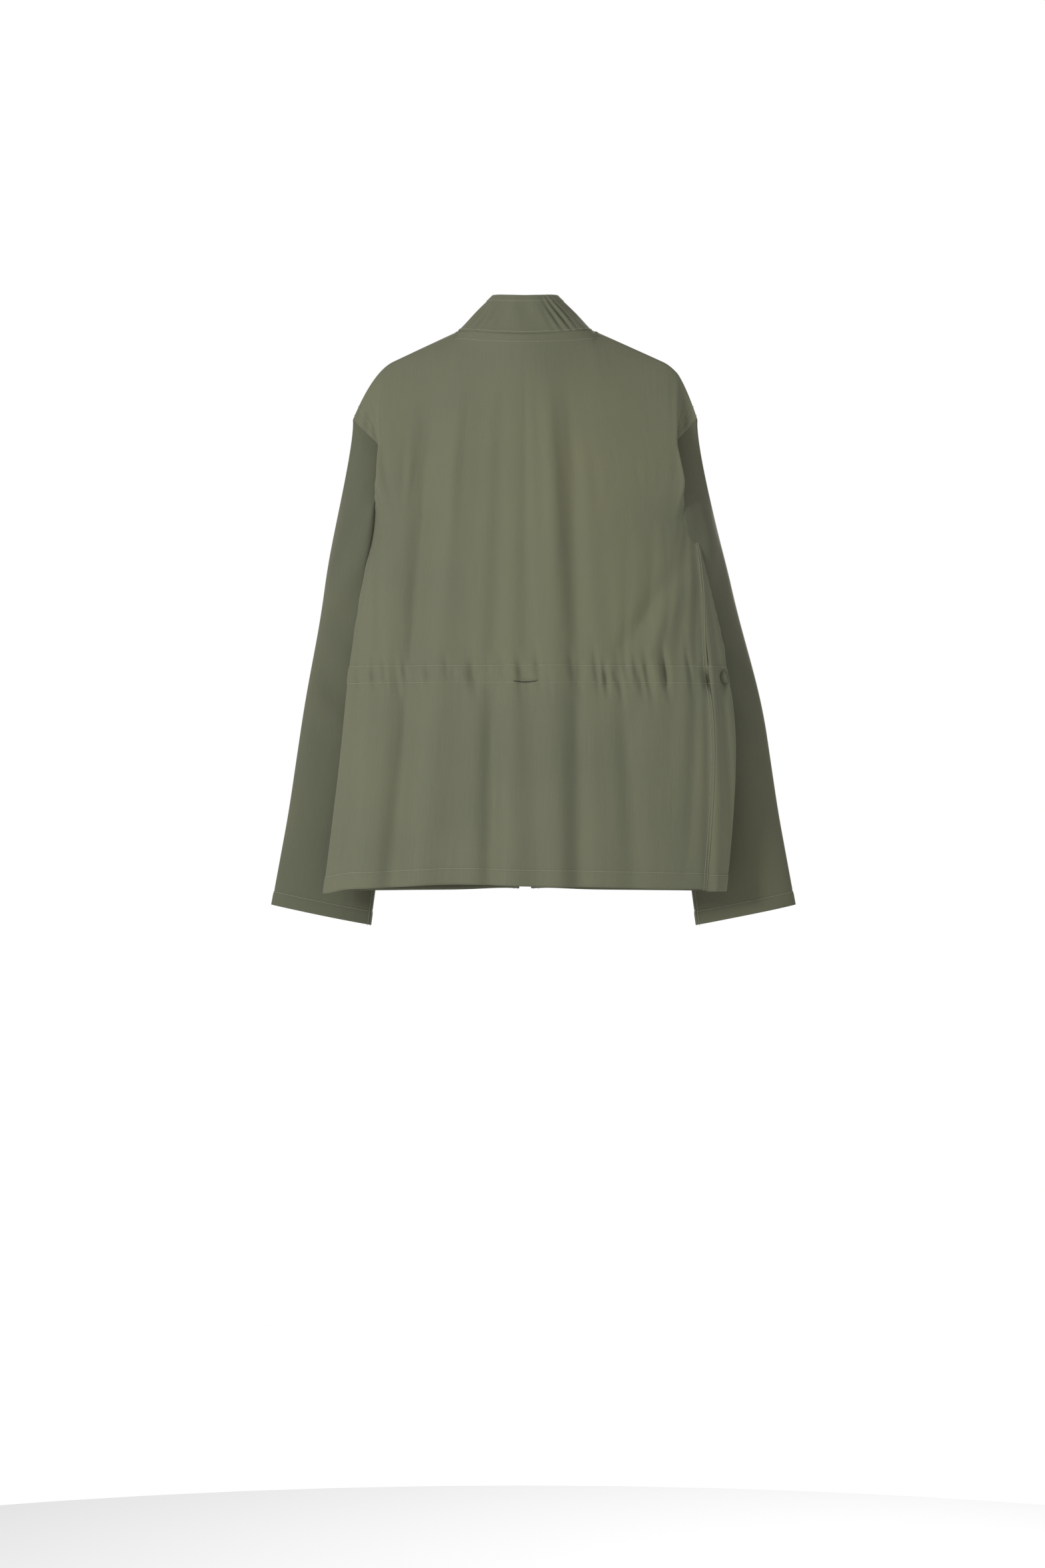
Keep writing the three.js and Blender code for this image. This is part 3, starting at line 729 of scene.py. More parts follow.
def outward_sign(grid, facing):
    """1 if the grid's own normals point out of the cloth, and -1 if they point into it."""
    return 1 if np.dot(normals(grid, 1)[grid.shape[0] // 2, grid.shape[1] // 2], facing) > 0 else -1


def cloth_piece(name, grid, facing, material, wall=CLOTH_WALL, ring=False):
    """A wall of cloth on a grid. The outer side of its middle looks in the direction facing."""
    rows, cols = grid.shape[:2]
    index = np.arange(rows * cols).reshape(rows, cols)
    uv = lay_uv(grid).reshape(-1, 2)
    points = grid.reshape(-1, 3)
    obj = object_from(name, points, grid_faces(closed(index) if ring else index, False), material, uv)
    middle = Vector(grid[rows // 2, cols // 2] * MM)
    nearest = min(obj.data.polygons, key=lambda p: (p.center - middle).length)
    if nearest.normal.dot(Vector(facing)) < 0:
        obj.data.flip_normals()
    solid = obj.modifiers.new("wall", "SOLIDIFY")
    solid.thickness = wall * MM
    solid.offset = -1
    solid.use_even_offset = False
    return obj


# %% What a piece belongs to, and its cut
def belongs(piece, body, node):
    """Says which body a piece moves with and which CAD node it stands for."""
    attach(piece, body)
    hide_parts(node)


def declare_cut(piece, grid, ring=False):
    """Prints a piece's greatest width and length laid flat. Its area is worked out too, but nothing reads it.
    """
    sheet = closed(grid) if ring else grid
    along, up = np.diff(sheet, axis=1), np.diff(sheet, axis=0)
    width = float(np.linalg.norm(along, axis=-1).sum(axis=1).max()) * MM
    length = float(np.linalg.norm(up, axis=-1).sum(axis=0).max()) * MM
    area = float(np.linalg.norm(np.cross(along[:-1], up[:, :-1]), axis=-1).sum()) * MM * MM
    area = min(area, width * length)
    print(piece.name, "is cut", round(width, 3), "by", round(length, 3), "m")


# %% [markdown]
# The weave is a plain cotton cloth, so fine that it only shows close to. Its bump is two sets of threads
# from the UV map. The colour wanders slowly between green and a browner olive, with faint upright streaks
# where some threads are thicker, and the nap gives a soft sheen at grazing angles.

# %% Cloth materials
def woven(name, colour, brown=0.42, threads=2100.0, rough=0.82, sheen=0.22,
          bump_size=0.5, crumple=0.45):
    material, tree, shader = new_material(name)
    place = Sock.node(tree, "ShaderNodeTexCoord", out="UV")
    object_place = Sock.node(tree, "ShaderNodeTexCoord", out="Object")
    warp, weft, _ = components(tree, place)
    weave = (warp * (threads * 6.283)).sine() * (weft * (threads * 6.283)).sine()
    slub = noise(tree, stretched(tree, place, (900.0, 14.0, 14.0)), 1.0, 3.0)
    slow = noise(tree, object_place, 5.0, 2.0)
    grain = noise(tree, place, 700.0, 2.0)
    tone = slow * 0.5 + slub * 0.32 + grain * 0.18
    base = np.array(colour)
    stops = [
        (0.30, tuple(base * (0.84, 0.86, 0.86))),
        (0.50, tuple(base)),
        (0.70, tuple(base * (1 + 0.22 * brown, 1.02 + 0.06 * brown, 0.98 - 0.12 * brown) * 1.04)),
    ]
    plug_in(tree, tinted(tree, tone, stops), shader.inputs["Base Color"])
    plug_in(tree, rough - 0.06 + slub * 0.12, shader.inputs["Roughness"])
    weave_bump = raised_by(tree, weave * 0.3 + slub * 0.9 + grain * 0.5, bump_size, 0.0002)
    crease = noise(tree, stretched(tree, object_place, (34.0, 34.0, 13.0)), 1.0, 4.0, Distortion=0.6)
    creased = raised_by(tree, crease, crumple, 0.0022, Normal=weave_bump)
    plug_in(tree, creased, shader.inputs["Normal"])
    shader.inputs["Sheen Weight"].default_value = sheen
    shader.inputs["Sheen Roughness"].default_value = 0.45
    shader.inputs["Sheen Tint"].default_value = (1.0, 0.9, 0.72, 1)
    shader.inputs["Specular IOR Level"].default_value = 0.28
    return material


OLIVE = (0.119, 0.125, 0.080)
shell_cloth = woven("shell_cotton", OLIVE)
# The sleeves take the shell's olive made a quarter darker. This is painted shade, for the shade that the body
# and their turn away from the lamps put on them.
sleeve_cloth_painted_shade = woven("sleeve_cotton_painted_shade", tuple(0.75 * c for c in OLIVE))
inner_cloth = woven("inner_cotton", tuple(0.8 * c for c in OLIVE), brown=0.2)
shadow_cloth = woven("cloth_in_shade", tuple(0.3 * c for c in OLIVE), brown=0.2)
tape_cloth = woven("zip_tape_weave", (0.034, 0.037, 0.024), threads=900.0, bump_size=0.6)
label_cloth = woven("label_satin", (0.012, 0.012, 0.011), brown=0.0, threads=1400.0, rough=0.55)
print("cloth materials", [m.name for m in (shell_cloth, inner_cloth, tape_cloth, label_cloth)])

# %% [markdown]
# Sewing thread is a little lighter than the cloth and is twisted, so a fine slanting bump runs along it.

# %% Thread and cord materials
def corded(name, colour, twist):
    material, tree, shader = new_material(name)
    place = Sock.node(tree, "ShaderNodeTexCoord", out="Object")
    x, y, z = components(tree, place)
    strand = ((x + y + z) * twist).sine()
    stops = [(0.0, tuple(0.82 * c for c in colour)), (1.0, tuple(1.12 * c for c in colour))]
    plug_in(tree, tinted(tree, strand * 0.5 + 0.5, stops), shader.inputs["Base Color"])
    plug_in(tree, raised_by(tree, strand, 0.4, 0.0002), shader.inputs["Normal"])
    shader.inputs["Roughness"].default_value = 0.7
    return material


thread = corded("sewing_thread", (0.28, 0.28, 0.20), 9000.0)
cord_braid = corded("cord_braid", (0.075, 0.08, 0.05), 2600.0)

# %% [markdown]
# The zip and the snaps are brass that has gone dark. Cloudy noise mixes bare and tarnished patches, and the
# tarnish is rougher and less metallic.

# %% Metal
def dark_brass():
    material, tree, shader = new_material("dark_brass")
    place = Sock.node(tree, "ShaderNodeTexCoord", out="Object")
    cloud = noise(tree, place, 260.0, 4.0)
    fine = noise(tree, place, 2400.0, 2.0)
    bare_and_dark = [(0.35, (0.10, 0.085, 0.06)), (0.65, (0.26, 0.215, 0.14))]
    plug_in(tree, tinted(tree, cloud, bare_and_dark), shader.inputs["Base Color"])
    plug_in(tree, 0.52 - cloud * 0.28 + fine * 0.12, shader.inputs["Roughness"])
    plug_in(tree, raised_by(tree, fine, 0.25, 0.0001), shader.inputs["Normal"])
    shader.inputs["Metallic"].default_value = 0.95
    return material


brass = dark_brass()

# %% [markdown]
# The shell itself: the back, the two fronts and the sleeves.

# %% Back, fronts and sleeves
shell = {}
for name, node, facing in (
    ("back", "back_panel", TO_BACK),
    ("front_left", "front_panel_left", TO_FRONT),
    ("front_right", "front_panel_right", TO_FRONT),
):
    piece = cloth_piece("shell_" + name, panels[name], facing, shell_cloth)
    belongs(piece, "shell", node)
    declare_cut(piece, panels[name])
    shell[name] = piece

SLEEVE_TURNS, SLEEVE_ROWS = 112, 190
sleeve_grid, sleeve_outward = {}, {}
for side, name in HANDS:
    turn, t = np.meshgrid(full_turn(SLEEVE_TURNS), np.linspace(0, 1, SLEEVE_ROWS + 1))
    grid = sleeve_point(side, turn, t)
    to_body = (-side, 0, 0)  # the middle column of a sleeve's grid runs down its inside
    sleeve_outward[side] = outward_sign(grid, to_body)
    n = normals(grid, sleeve_outward[side])
    grid = grid + n * turned_edge(SLEEVE_LENGTH * (1 - t), CUFF_TURN, CUFF_STITCH)[..., None]
    sleeve_grid[side] = grid
    # The sleeves are cut from the darker cloth that carries painted shade.
    piece = cloth_piece("sleeve_" + name + "_cloth", grid, to_body, sleeve_cloth_painted_shade, ring=True)
    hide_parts("sleeve_" + name)
    declare_cut(piece, grid, ring=True)
    shell[name] = piece
print("shell pieces", list(shell))

# %% [markdown]
# Trims have to lie on the draped cloth, so each is placed by feeling for the cloth: a ray from in front or
# behind finds the surface and which way it faces.

# %% Feel for the cloth
def feeler(grids):
    points, faces = [], []
    for grid in grids:
        start = sum(len(p) for p in points)
        index = start + np.arange(grid.shape[0] * grid.shape[1]).reshape(grid.shape[:2])
        points.append(grid.reshape(-1, 3))
        faces += grid_faces(index, False)
    return BVHTree.FromPolygons(np.concatenate(points).tolist(), faces)


cloth_tree = {1: feeler([panels["back"]]), -1: feeler([panels["front_left"], panels["front_right"]])}


def on_cloth(face, x, z, out=0.0):
    """The points of the back (face 1) or the front (face -1) at x, z, moved out of the cloth."""
    x, z, out = np.broadcast_arrays(np.asarray(x, float), np.asarray(z, float), np.asarray(out, float))
    found = np.zeros(x.shape + (3,))
    for place in np.ndindex(*x.shape):
        start = Vector((x[place], face * 400.0, z[place]))
        hit, normal, _, _ = cloth_tree[face].ray_cast(start, Vector((0, -face, 0)))
        if hit is None:
            hit, normal, _, _ = cloth_tree[face].find_nearest(Vector((x[place], face * 60.0, z[place])))
        if normal.y * face < 0:
            normal = -normal
        found[place] = hit + normal * out[place]
    return found


def girth(z, out=0.0, left_out=0):
    """A ring round the jacket at one height, from the left front edge by the back to the right one."""
    rings = []
    for name in ("front_left", "back", "front_right"):
        grid = panels[name]
        grid = grid + normals(grid, OUTWARD[name]) * out
        columns = grid.transpose(1, 0, 2)
        row = np.array([[np.interp(z, column[:, 2], column[:, k]) for k in range(3)] for column in columns])
        rings.append(row[::-1] if name in ("back", "front_right") else row)
    ring = np.concatenate([rings[0], rings[1][1:], rings[2][1:]])
    return ring[left_out:len(ring) - left_out]


def path_length(path):
    return float(np.linalg.norm(np.diff(path, axis=0), axis=1).sum())


def spaced(path, step):
    """The same path with points an equal step apart."""
    gaps = np.linalg.norm(np.diff(path, axis=0), axis=1)
    run = np.concatenate([[0], np.cumsum(gaps)])
    at = np.linspace(0, run[-1], max(2, int(run[-1] / step) + 1))
    return np.stack([np.interp(at, run, path[:, k]) for k in range(3)], -1)


print("girth at the waist", round(path_length(girth(WAIST_Z))), "mm")

# %% [markdown]
# A row of stitches is the same small float of thread over and over, so Geometry Nodes lays it: each row is
# a line of edges on the cloth, the tree steps along it by the stitch length and puts one float at each
# step, turned along the row and lying on the cloth. A hand on the cloth makes no two quite alike, so a
# fixed seed turns each by a degree or two.

# %% One float of thread
def float_mesh():
    """A float of thread along X, two high in the middle, that dives into the cloth at its ends."""
    along = np.array([-0.5, -0.36, 0.0, 0.36, 0.5])
    height = np.array([-0.45, 0.18, 0.42, 0.18, -0.45])
    points, faces = [], []
    for x, h in zip(along, height):
        for corner in range(4):
            turn = (corner + 0.5) * math.pi / 2
            points.append((x, 0.5 * math.cos(turn), h + 0.5 * math.sin(turn)))
    for ring in range(4):
        for corner in range(4):
            a, b = ring * 4 + corner, ring * 4 + (corner + 1) % 4
            faces.append((a, b, b + 4, a + 4))
    faces += [tuple(range(3, -1, -1)), tuple(range(16, 20))]
    mesh = bpy.data.meshes.new("thread_float")
    mesh.from_pydata(points, [], faces)
    if mesh.polygons[0].normal.dot(mesh.polygons[0].center) < 0:
        mesh.flip_normals()
    shade(mesh, True)
    return set_out("thread_float", mesh)


# %% A tree that repeats a shape along rows
def row_tree(name, material):
    tree = bpy.data.node_groups.new(name, "GeometryNodeTree")
    face = tree.interface
    face.new_socket("Rows", in_out="INPUT", socket_type="NodeSocketGeometry")
    for label in ("Step", "Length", "Width", "Height", "Wander"):
        face.new_socket(label, in_out="INPUT", socket_type="NodeSocketFloat")
    face.new_socket("Shape", in_out="INPUT", socket_type="NodeSocketObject")
    face.new_socket("Rows", in_out="OUTPUT", socket_type="NodeSocketGeometry")
    start = tree.nodes.new("NodeGroupInput")
    end = tree.nodes.new("NodeGroupOutput")
    given = {s.name: Sock(tree, s) for s in start.outputs if s.name}
    curves = Sock.node(tree, "GeometryNodeMeshToCurve", {}, {"Mesh": given["Rows"]})
    steps = tree.nodes.new("GeometryNodeCurveToPoints")
    steps.mode = "LENGTH"
    plug_in(tree, curves, steps.inputs["Curve"])
    plug_in(tree, given["Step"], steps.inputs["Length"])
    out = Sock.node(tree, "GeometryNodeInputNamedAttribute", {"data_type": "FLOAT_VECTOR"}, {"Name": "out"})
    along = Sock(tree, steps.outputs["Tangent"])
    align = "FunctionNodeAlignRotationToVector"
    aim = Sock.node(tree, align, {"axis": "X"}, {"Vector": along})
    aim = Sock.node(tree, align, {"axis": "Z", "pivot_axis": "X"}, {"Rotation": aim, "Vector": out})
    chance = tree.nodes.new("FunctionNodeRandomValue")
    chance.data_type = "FLOAT"
    float_in = {s.identifier: s for s in chance.inputs}
    plug_in(tree, given["Wander"] * -1.0, float_in["Min_001"])
    plug_in(tree, given["Wander"], float_in["Max_001"])
    chance.inputs["Seed"].default_value = 11
    wander = next(s for s in chance.outputs if s.identifier == "Value_001")
    twist = Sock.node(tree, "ShaderNodeCombineXYZ", {}, {"Z": Sock(tree, wander)})
    twist = Sock.node(tree, "FunctionNodeEulerToRotation", {}, {0: twist})
    turned_by = {"Rotation": aim, "Rotate By": twist}
    aim = Sock.node(tree, "FunctionNodeRotateRotation", {"rotation_space": "LOCAL"}, turned_by)
    size = Sock.node(
        tree, "ShaderNodeCombineXYZ", {}, {"X": given["Length"], "Y": given["Width"], "Z": given["Height"]}
    )
    shape = Sock.node(tree, "GeometryNodeObjectInfo", {}, {"Object": given["Shape"]}, out="Geometry")
    placed = Sock.node(
        tree, "GeometryNodeInstanceOnPoints", {},
        {"Points": Sock(tree, steps.outputs["Points"]), "Instance": shape, "Rotation": aim, "Scale": size},
    )
    real = Sock.node(tree, "GeometryNodeRealizeInstances", {}, {"Geometry": placed})
    painted = Sock.node(tree, "GeometryNodeSetMaterial", {}, {"Geometry": real, "Material": material})
    plug_in(tree, painted, end.inputs[0])
    return tree


def repeat_on_rows(name, rows, tree, shape, sizes):
    """rows is a list of (points, outward) in millimetres; the result is one plain mesh."""
    points, edges, out = [], [], []
    for path, away in rows:
        start = len(points)
        points += (path * MM).tolist()
        out += away.tolist()
        edges += [(start + i, start + i + 1) for i in range(len(path) - 1)]
    mesh = bpy.data.meshes.new(name + "_rows")
    mesh.from_pydata(points, edges, [])
    mesh.attributes.new("out", "FLOAT_VECTOR", "POINT").data.foreach_set("vector", np.array(out).ravel())
    obj = set_out(name, mesh)
    modifier = obj.modifiers.new("rows", "NODES")
    modifier.node_group = tree
    socket = {s.name: s.identifier for s in tree.interface.items_tree if s.in_out == "INPUT"}
    for label, value in sizes.items():
        modifier[socket[label]] = value * MM if label != "Wander" else value
    modifier[socket["Shape"]] = shape
    seen = obj.evaluated_get(bpy.context.evaluated_depsgraph_get())
    made = bpy.data.meshes.new_from_object(seen)
    obj.modifiers.clear()
    obj.data = made
    made.name = name
    return obj


stitch_float = float_mesh()
stitch_tree = row_tree("stitch_rows", thread)
STITCH = {"Step": 3.3, "Length": 2.6, "Width": 0.6, "Height": 0.55, "Wander": 0.05}


def grid_row(grid, outward, take, lift=0.12):
    """A row along a grid: take picks its points from the grid, and the same points of its normals."""
    n = normals(grid, outward)
    return take(grid) + take(n) * lift, take(n)


print("stitch tree has", len(stitch_tree.nodes), "nodes")

# %% [markdown]
# Seam rows of the shell. The hem and the cuffs have one row, the waist channel two, and the side seams are
# felled, so two rows lie close together just behind the seam line. The armhole is felled too.

# %% Rows on the shell
def at_row(grid, rows_from_bottom):
    """A line across a grid at a height that may lie between two of its rows."""
    r = min(int(rows_from_bottom), grid.shape[0] - 2)
    return mix(grid[r], grid[r + 1], rows_from_bottom - r)


def at_column(grid, columns):
    c = min(int(columns), grid.shape[1] - 2)
    return mix(grid[:, c], grid[:, c + 1], columns - c)


ROW_UP = BODY_RISE / UNDERARM_V / (2 * ROWS)  # millimetres between two rows below the underarm
UNDERARM_ROW = int(UNDERARM_V * 2 * ROWS)
shell_rows = []
for name, grid in panels.items():
    sign = OUTWARD[name]
    shell_rows.append(grid_row(grid, sign, lambda g: at_row(g, HEM_STITCH / ROW_UP)))
    skip = 16 if name != "back" else 0
    for z in (WAIST_Z + WAIST_HALF, WAIST_Z - WAIST_HALF):
        rows_up = (z - HEM_Z) / ROW_UP
        shell_rows.append(grid_row(grid, sign, lambda g: at_row(g, rows_up)[skip:]))
    if name == "back":
        for edge, step in ((0, 1), (grid.shape[1] - 1, -1)):
            for inward in (1.2, 3.6):
                shell_rows.append(grid_row(grid, sign, lambda g: at_column(g, edge + step * inward)))
        neck = np.abs(grid[-4, :, 0]) < NECK_HALF + 4
        shell_rows.append(grid_row(grid, sign, lambda g: g[-4][neck]))
    else:
        for inward in (1.2, 3.4):
            shell_rows.append(grid_row(grid, sign, lambda g: at_column(g, inward)))
        for inward in (1.2, 3.6):
            beside_arm = grid.shape[1] - 1 - inward
            shell_rows.append(grid_row(grid, sign, lambda g: at_column(g, beside_arm)[UNDERARM_ROW:]))
sleeve_rows = {}
for side, grid in sleeve_grid.items():
    sign = sleeve_outward[side]
    cuff_row = SLEEVE_ROWS - CUFF_STITCH / SLEEVE_LENGTH * SLEEVE_ROWS
    rows = [grid_row(closed(grid), sign, lambda g: at_row(g, cuff_row))]
    inner = SLEEVE_TURNS / 2
    for around in (inner - 4, inner - 7):
        rows.append(grid_row(closed(grid), sign, lambda g: at_column(g, around)[8:]))
    sleeve_rows[side] = rows
print(len(shell_rows), "rows on the shell,", sum(len(r) for r in sleeve_rows.values()), "on the sleeves")

# %% [markdown]
# The stand collar is two plies that rise from the neck seam and lean in to its top edge. Where the hanger
# does not hold it up it has buckled a little on the right, so that side gets pinched creases.

# %% Collar
COLLAR_HALF, COLLAR_BACK, COLLAR_SIDE_Z, COLLAR_BACK_Z, COLLAR_FRONT_Z = 42.0, 30.0, 54.0, 51.0, -5.0
COLLAR_WALL = 1.2


def collar_point(turn, rise, out=0.0):
    """turn is 0 at the centre front and half a turn at the centre back, rise is 0 at the neck seam."""
    turn, rise = np.broadcast_arrays(np.asarray(turn, float), np.asarray(rise, float))
    front, c = np.cos(turn) > 0, np.cos(turn) ** 2
    fall = np.where(front, NECK_SIDE_Z - NECK_FRONT_Z, NECK_SIDE_Z)
    low = [NECK_HALF * np.sin(turn), np.where(front, -NECK_FRONT, NECK_BACK) * np.abs(np.cos(turn)),
           NECK_SIDE_Z - fall * c]
    rise_in_front = COLLAR_FRONT_Z - NECK_FRONT_Z
    front_y = -NECK_FRONT + rise_in_front * (HEM_FRONT - NECK_FRONT) / (NECK_FRONT_Z - HEM_Z)
    fall = np.where(front, COLLAR_SIDE_Z - COLLAR_FRONT_Z, COLLAR_SIDE_Z - COLLAR_BACK_Z)
    high = [COLLAR_HALF * np.sin(turn), np.where(front, front_y, COLLAR_BACK) * np.abs(np.cos(turn)),
            COLLAR_SIDE_Z - fall * c]
    low, high = np.stack(low, -1), np.stack(high, -1)
    away = np.stack([np.sin(turn), -np.cos(turn), 0.5 * np.abs(np.sin(turn))], -1)
    away = away / np.linalg.norm(away, axis=-1, keepdims=True)
    return mix(low, high, rise[..., None]) + away * np.asarray(out)[..., None]


def collar_relief(turn, rise):
    round_back = turn - math.pi
    pinch = 2.6 * np.sin(38 * round_back + 6 * rise) * bump(turn, math.pi + 0.72, 0.24)
    soft = 0.9 * np.sin(11 * turn + 2 * rise) * bump(rise, 0.5, 0.35)
    left = 1.3 * np.sin(30 * round_back - 4 * rise) * bump(turn, math.pi - 0.85, 0.2)
    return pinch * bump(rise, 0.45, 0.4) + soft + left * bump(rise, 0.3, 0.3)


COLLAR_COLUMNS, COLLAR_ROWS = 240, 28


def collar_grid(out, low=0.0, high=1.0):
    rise = np.linspace(low, high, COLLAR_ROWS + 1)[:, None]
    edge = np.arcsin(ZIP_EDGE / mix(NECK_HALF, COLLAR_HALF, rise))
    turn = edge + (2 * math.pi - 2 * edge) * np.linspace(0, 1, COLLAR_COLUMNS + 1)[None, :]
    rise = np.broadcast_to(rise, turn.shape)
    lift = collar_relief(turn, rise)
    edge_ridge = 0.5 * smooth((rise - 0.8) / 0.04) - 0.35 * bump(rise, 0.82, 0.02)
    edge_ridge = edge_ridge + 0.5 * smooth((0.07 - rise) / 0.05)
    return collar_point(turn, rise, out + lift + (edge_ridge if out >= 0 else 0))


outer_collar = collar_grid(0.6)
inner_collar = collar_grid(-1.6, low=0.02, high=0.99)
for name, grid, node, cloth_kind, slot in (
    ("collar_ply", outer_collar, "collar_outer", shell_cloth, "olive_cotton"),
    ("collar_lining", inner_collar, "collar_facing", inner_cloth, "lining_cotton"),
):
    piece = cloth_piece(name, grid, TO_BACK, cloth_kind, COLLAR_WALL)
    belongs(piece, "shell", node)
    declare_cut(piece, grid)
collar_out = outward_sign(outer_collar, TO_BACK)
for rise in (0.845, 0.035):
    shell_rows.append(grid_row(outer_collar, collar_out, lambda g: at_row(g, COLLAR_ROWS * rise)))
for edge in (1.2, COLLAR_COLUMNS - 1.2):
    shell_rows.append(grid_row(outer_collar, collar_out, lambda g: at_column(g, edge)))
print("collar's top edge at", round(float(outer_collar[-1, :, 2].max()), 1), "mm")

# %% [markdown]
# Strips of cloth lie inside: the channel that holds the drawcord and the guard behind the zip. A braided
# cord runs through the channel all the way round and ends in a knot at each side of the zip.

# %% Channel
CHANNEL_ENDS = 15  # columns of the fronts that it stops short of the zip
channel_up = np.linspace(-WAIST_HALF, WAIST_HALF, 13)
channel_in = 3.0 + 4.6 * np.cos(np.linspace(-1.25, 1.25, 13))
channel = np.stack([girth(WAIST_Z + up, -into, CHANNEL_ENDS) for up, into in zip(channel_up, channel_in)])
channel_piece = cloth_piece("waist_channel", channel, TO_FRONT, inner_cloth)
belongs(channel_piece, "shell", "waist_casing")
declare_cut(channel_piece, channel)


# %% [markdown]
# At the centre back the channel has a short slit, through which the cord could be drawn out. It could be cut
# out of the cloth, but a strip of shaded cloth with a rolled lip over it looks the same and keeps the back
# one clean grid.

# %% Slit at the centre back
def slit_half(x):
    return 1.5 * np.sqrt(np.maximum(0, 1 - (x / 16.0) ** 2))


x = np.linspace(-15.9, 15.9, 41)[None, :]
middle_z = WAIST_Z - 9.0 - 1.6 * (1 - (x / 16.0) ** 2)
share = np.linspace(-1, 1, 7)[:, None]
slit_grid = on_cloth(1, x, middle_z + share * slit_half(x), 0.12)
slit_piece = cloth_piece("waist_slit", slit_grid, TO_BACK, shadow_cloth, 0.1)
turn = np.linspace(0, math.pi, 9)[:, None]
lip_z = middle_z + slit_half(x) + 0.9 * np.cos(turn) + 0.5
lip_grid = on_cloth(1, x, lip_z, 0.05 + 0.95 * np.sin(turn) * slit_half(x) / 1.5)
lip_piece = cloth_piece("waist_slit_lip", lip_grid, TO_BACK, shell_cloth, 0.1)
for piece in (slit_piece, lip_piece):
    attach(piece, "shell")


# %% [markdown]
# The cord lies in its channel all the way round, so its path is the jacket's own girth, a little inside the
# cloth. A bevelled curve could draw it too, but its ends would stay open.

# %% Drawcord
def tube(name, path, radius, material, sides=12, closed_ends=True):
    """A round bar along a path, with a UV map that runs along it and round it."""
    path = np.asarray(path, float)
    ahead = np.gradient(path, axis=0)
    ahead /= np.linalg.norm(ahead, axis=1, keepdims=True)
    up = np.array([0.0, 0.0, 1.0]) if abs(ahead[:, 2]).mean() < 0.8 else np.array([0.0, 1.0, 0.0])
    side = np.cross(ahead, up)
    side /= np.linalg.norm(side, axis=1, keepdims=True)
    rise = np.cross(side, ahead)
    turn = full_turn(sides)
    radius = np.broadcast_to(radius, len(path))[:, None, None]
    spokes = side[:, None] * np.cos(turn)[:, None] + rise[:, None] * np.sin(turn)[:, None]
    rings = path[:, None] + radius * spokes
    index = np.arange(len(path) * sides).reshape(-1, sides)
    faces = grid_faces(closed(index), False)
    if closed_ends:
        faces += [tuple(int(i) for i in index[0]), tuple(int(i) for i in index[-1][::-1])]
    obj = object_from(name, rings.reshape(-1, 3), faces, material)
    close_and_turn_out(obj)
    return obj


def close_and_turn_out(obj):
    """Merges doubled points and turns every face of a closed solid outwards."""
    shape = bmesh.new()
    shape.from_mesh(obj.data)
    bmesh.ops.remove_doubles(shape, verts=shape.verts, dist=1e-6)
    bmesh.ops.recalc_face_normals(shape, faces=shape.faces)
    shape.to_mesh(obj.data)
    shape.free()


cord_path = spaced(girth(WAIST_Z, -5.3, CHANNEL_ENDS), 4.0)
ends = [cord_path[0], cord_path[-1]]
cord_run = tube("waist_drawcord", cord_path, 1.5, cord_braid)
belongs(cord_run, "shell", "drawcord")


def knot(name, middle, radius, material):
    """A tight overhand knot: a cord wound three times through itself, closed into one solid."""
    t = np.linspace(0, 2 * math.pi, 97)
    wound = np.stack([np.sin(t) + 2 * np.sin(2 * t), np.cos(t) - 2 * np.cos(2 * t), -np.sin(3 * t)], -1)
    wound = wound / 3.0 * (radius - 1.1) * 1.1
    return tube(name, wound[:, [2, 0, 1]] + middle, 1.15, material, closed_ends=False)


for end, name in zip(ends, ("left", "right")):
    side = 1 if name == "left" else -1
    piece = knot("cord_knot_" + name, end - np.array([side * 2.5, 0, 0]), 3.0, cord_braid)
    belongs(piece, "shell", "drawcord_knot_" + name)
print("drawcord of", round(path_length(cord_path)), "mm")

# %% [markdown]
# Everything of the zip is placed from its own slanting line up the front edge: across it, into the jacket
# and up it.

# %% The zip's line
ZIP_LEAN = math.atan(17.0 / 660.0)
ZIP_TOP = 704.0


def on_zip(x, into, up):
    x, into, up = np.broadcast_arrays(np.asarray(x, float), np.asarray(into, float), np.asarray(up, float))
    c, s = math.cos(ZIP_LEAN), math.sin(ZIP_LEAN)
    return np.stack([x, -HEM_FRONT + into * c + up * s, HEM_Z - into * s + up * c], -1)


def bevelled(obj, width):
    """Takes the sharpness off a metal piece's edges, by a width in millimetres."""
    edge = obj.modifiers.new("edge", "BEVEL")
    edge.width = width * MM
    edge.segments = 2
    edge.limit_method = "ANGLE"


def zip_plate(name, outline, into, thick, material, bevel=0.3):
    """A flat plate from an outline of (x, up), as thick as given, with a small bevel."""
    front = [on_zip(x, into, up) for x, up in outline]
    back = [on_zip(x, into + thick, up) for x, up in outline]
    n = len(outline)
    faces = [tuple(range(n)), tuple(range(2 * n - 1, n - 1, -1))]
    faces += [(i, (i + 1) % n, n + (i + 1) % n, n + i) for i in range(n)]
    obj = object_from(name, np.array(front + back), faces, material)
    close_and_turn_out(obj)
    shade(obj.data, False)
    bevelled(obj, bevel)
    return obj


def rounded(x0, x1, up0, up1, radius, steps=5):
    points = []
    for cx, cu, start in ((x1 - radius, up1 - radius, 0), (x0 + radius, up1 - radius, 1),
                          (x0 + radius, up0 + radius, 2), (x1 - radius, up0 + radius, 3)):
        for k in range(steps + 1):
            a = (start + k / steps) * math.pi / 2
            points.append((cx + radius * math.cos(a), cu + radius * math.sin(a)))
    return points


# %% [markdown]
# The tapes are two ribbons of dense cloth, sewn under the front edges, with a bead where the teeth sit.

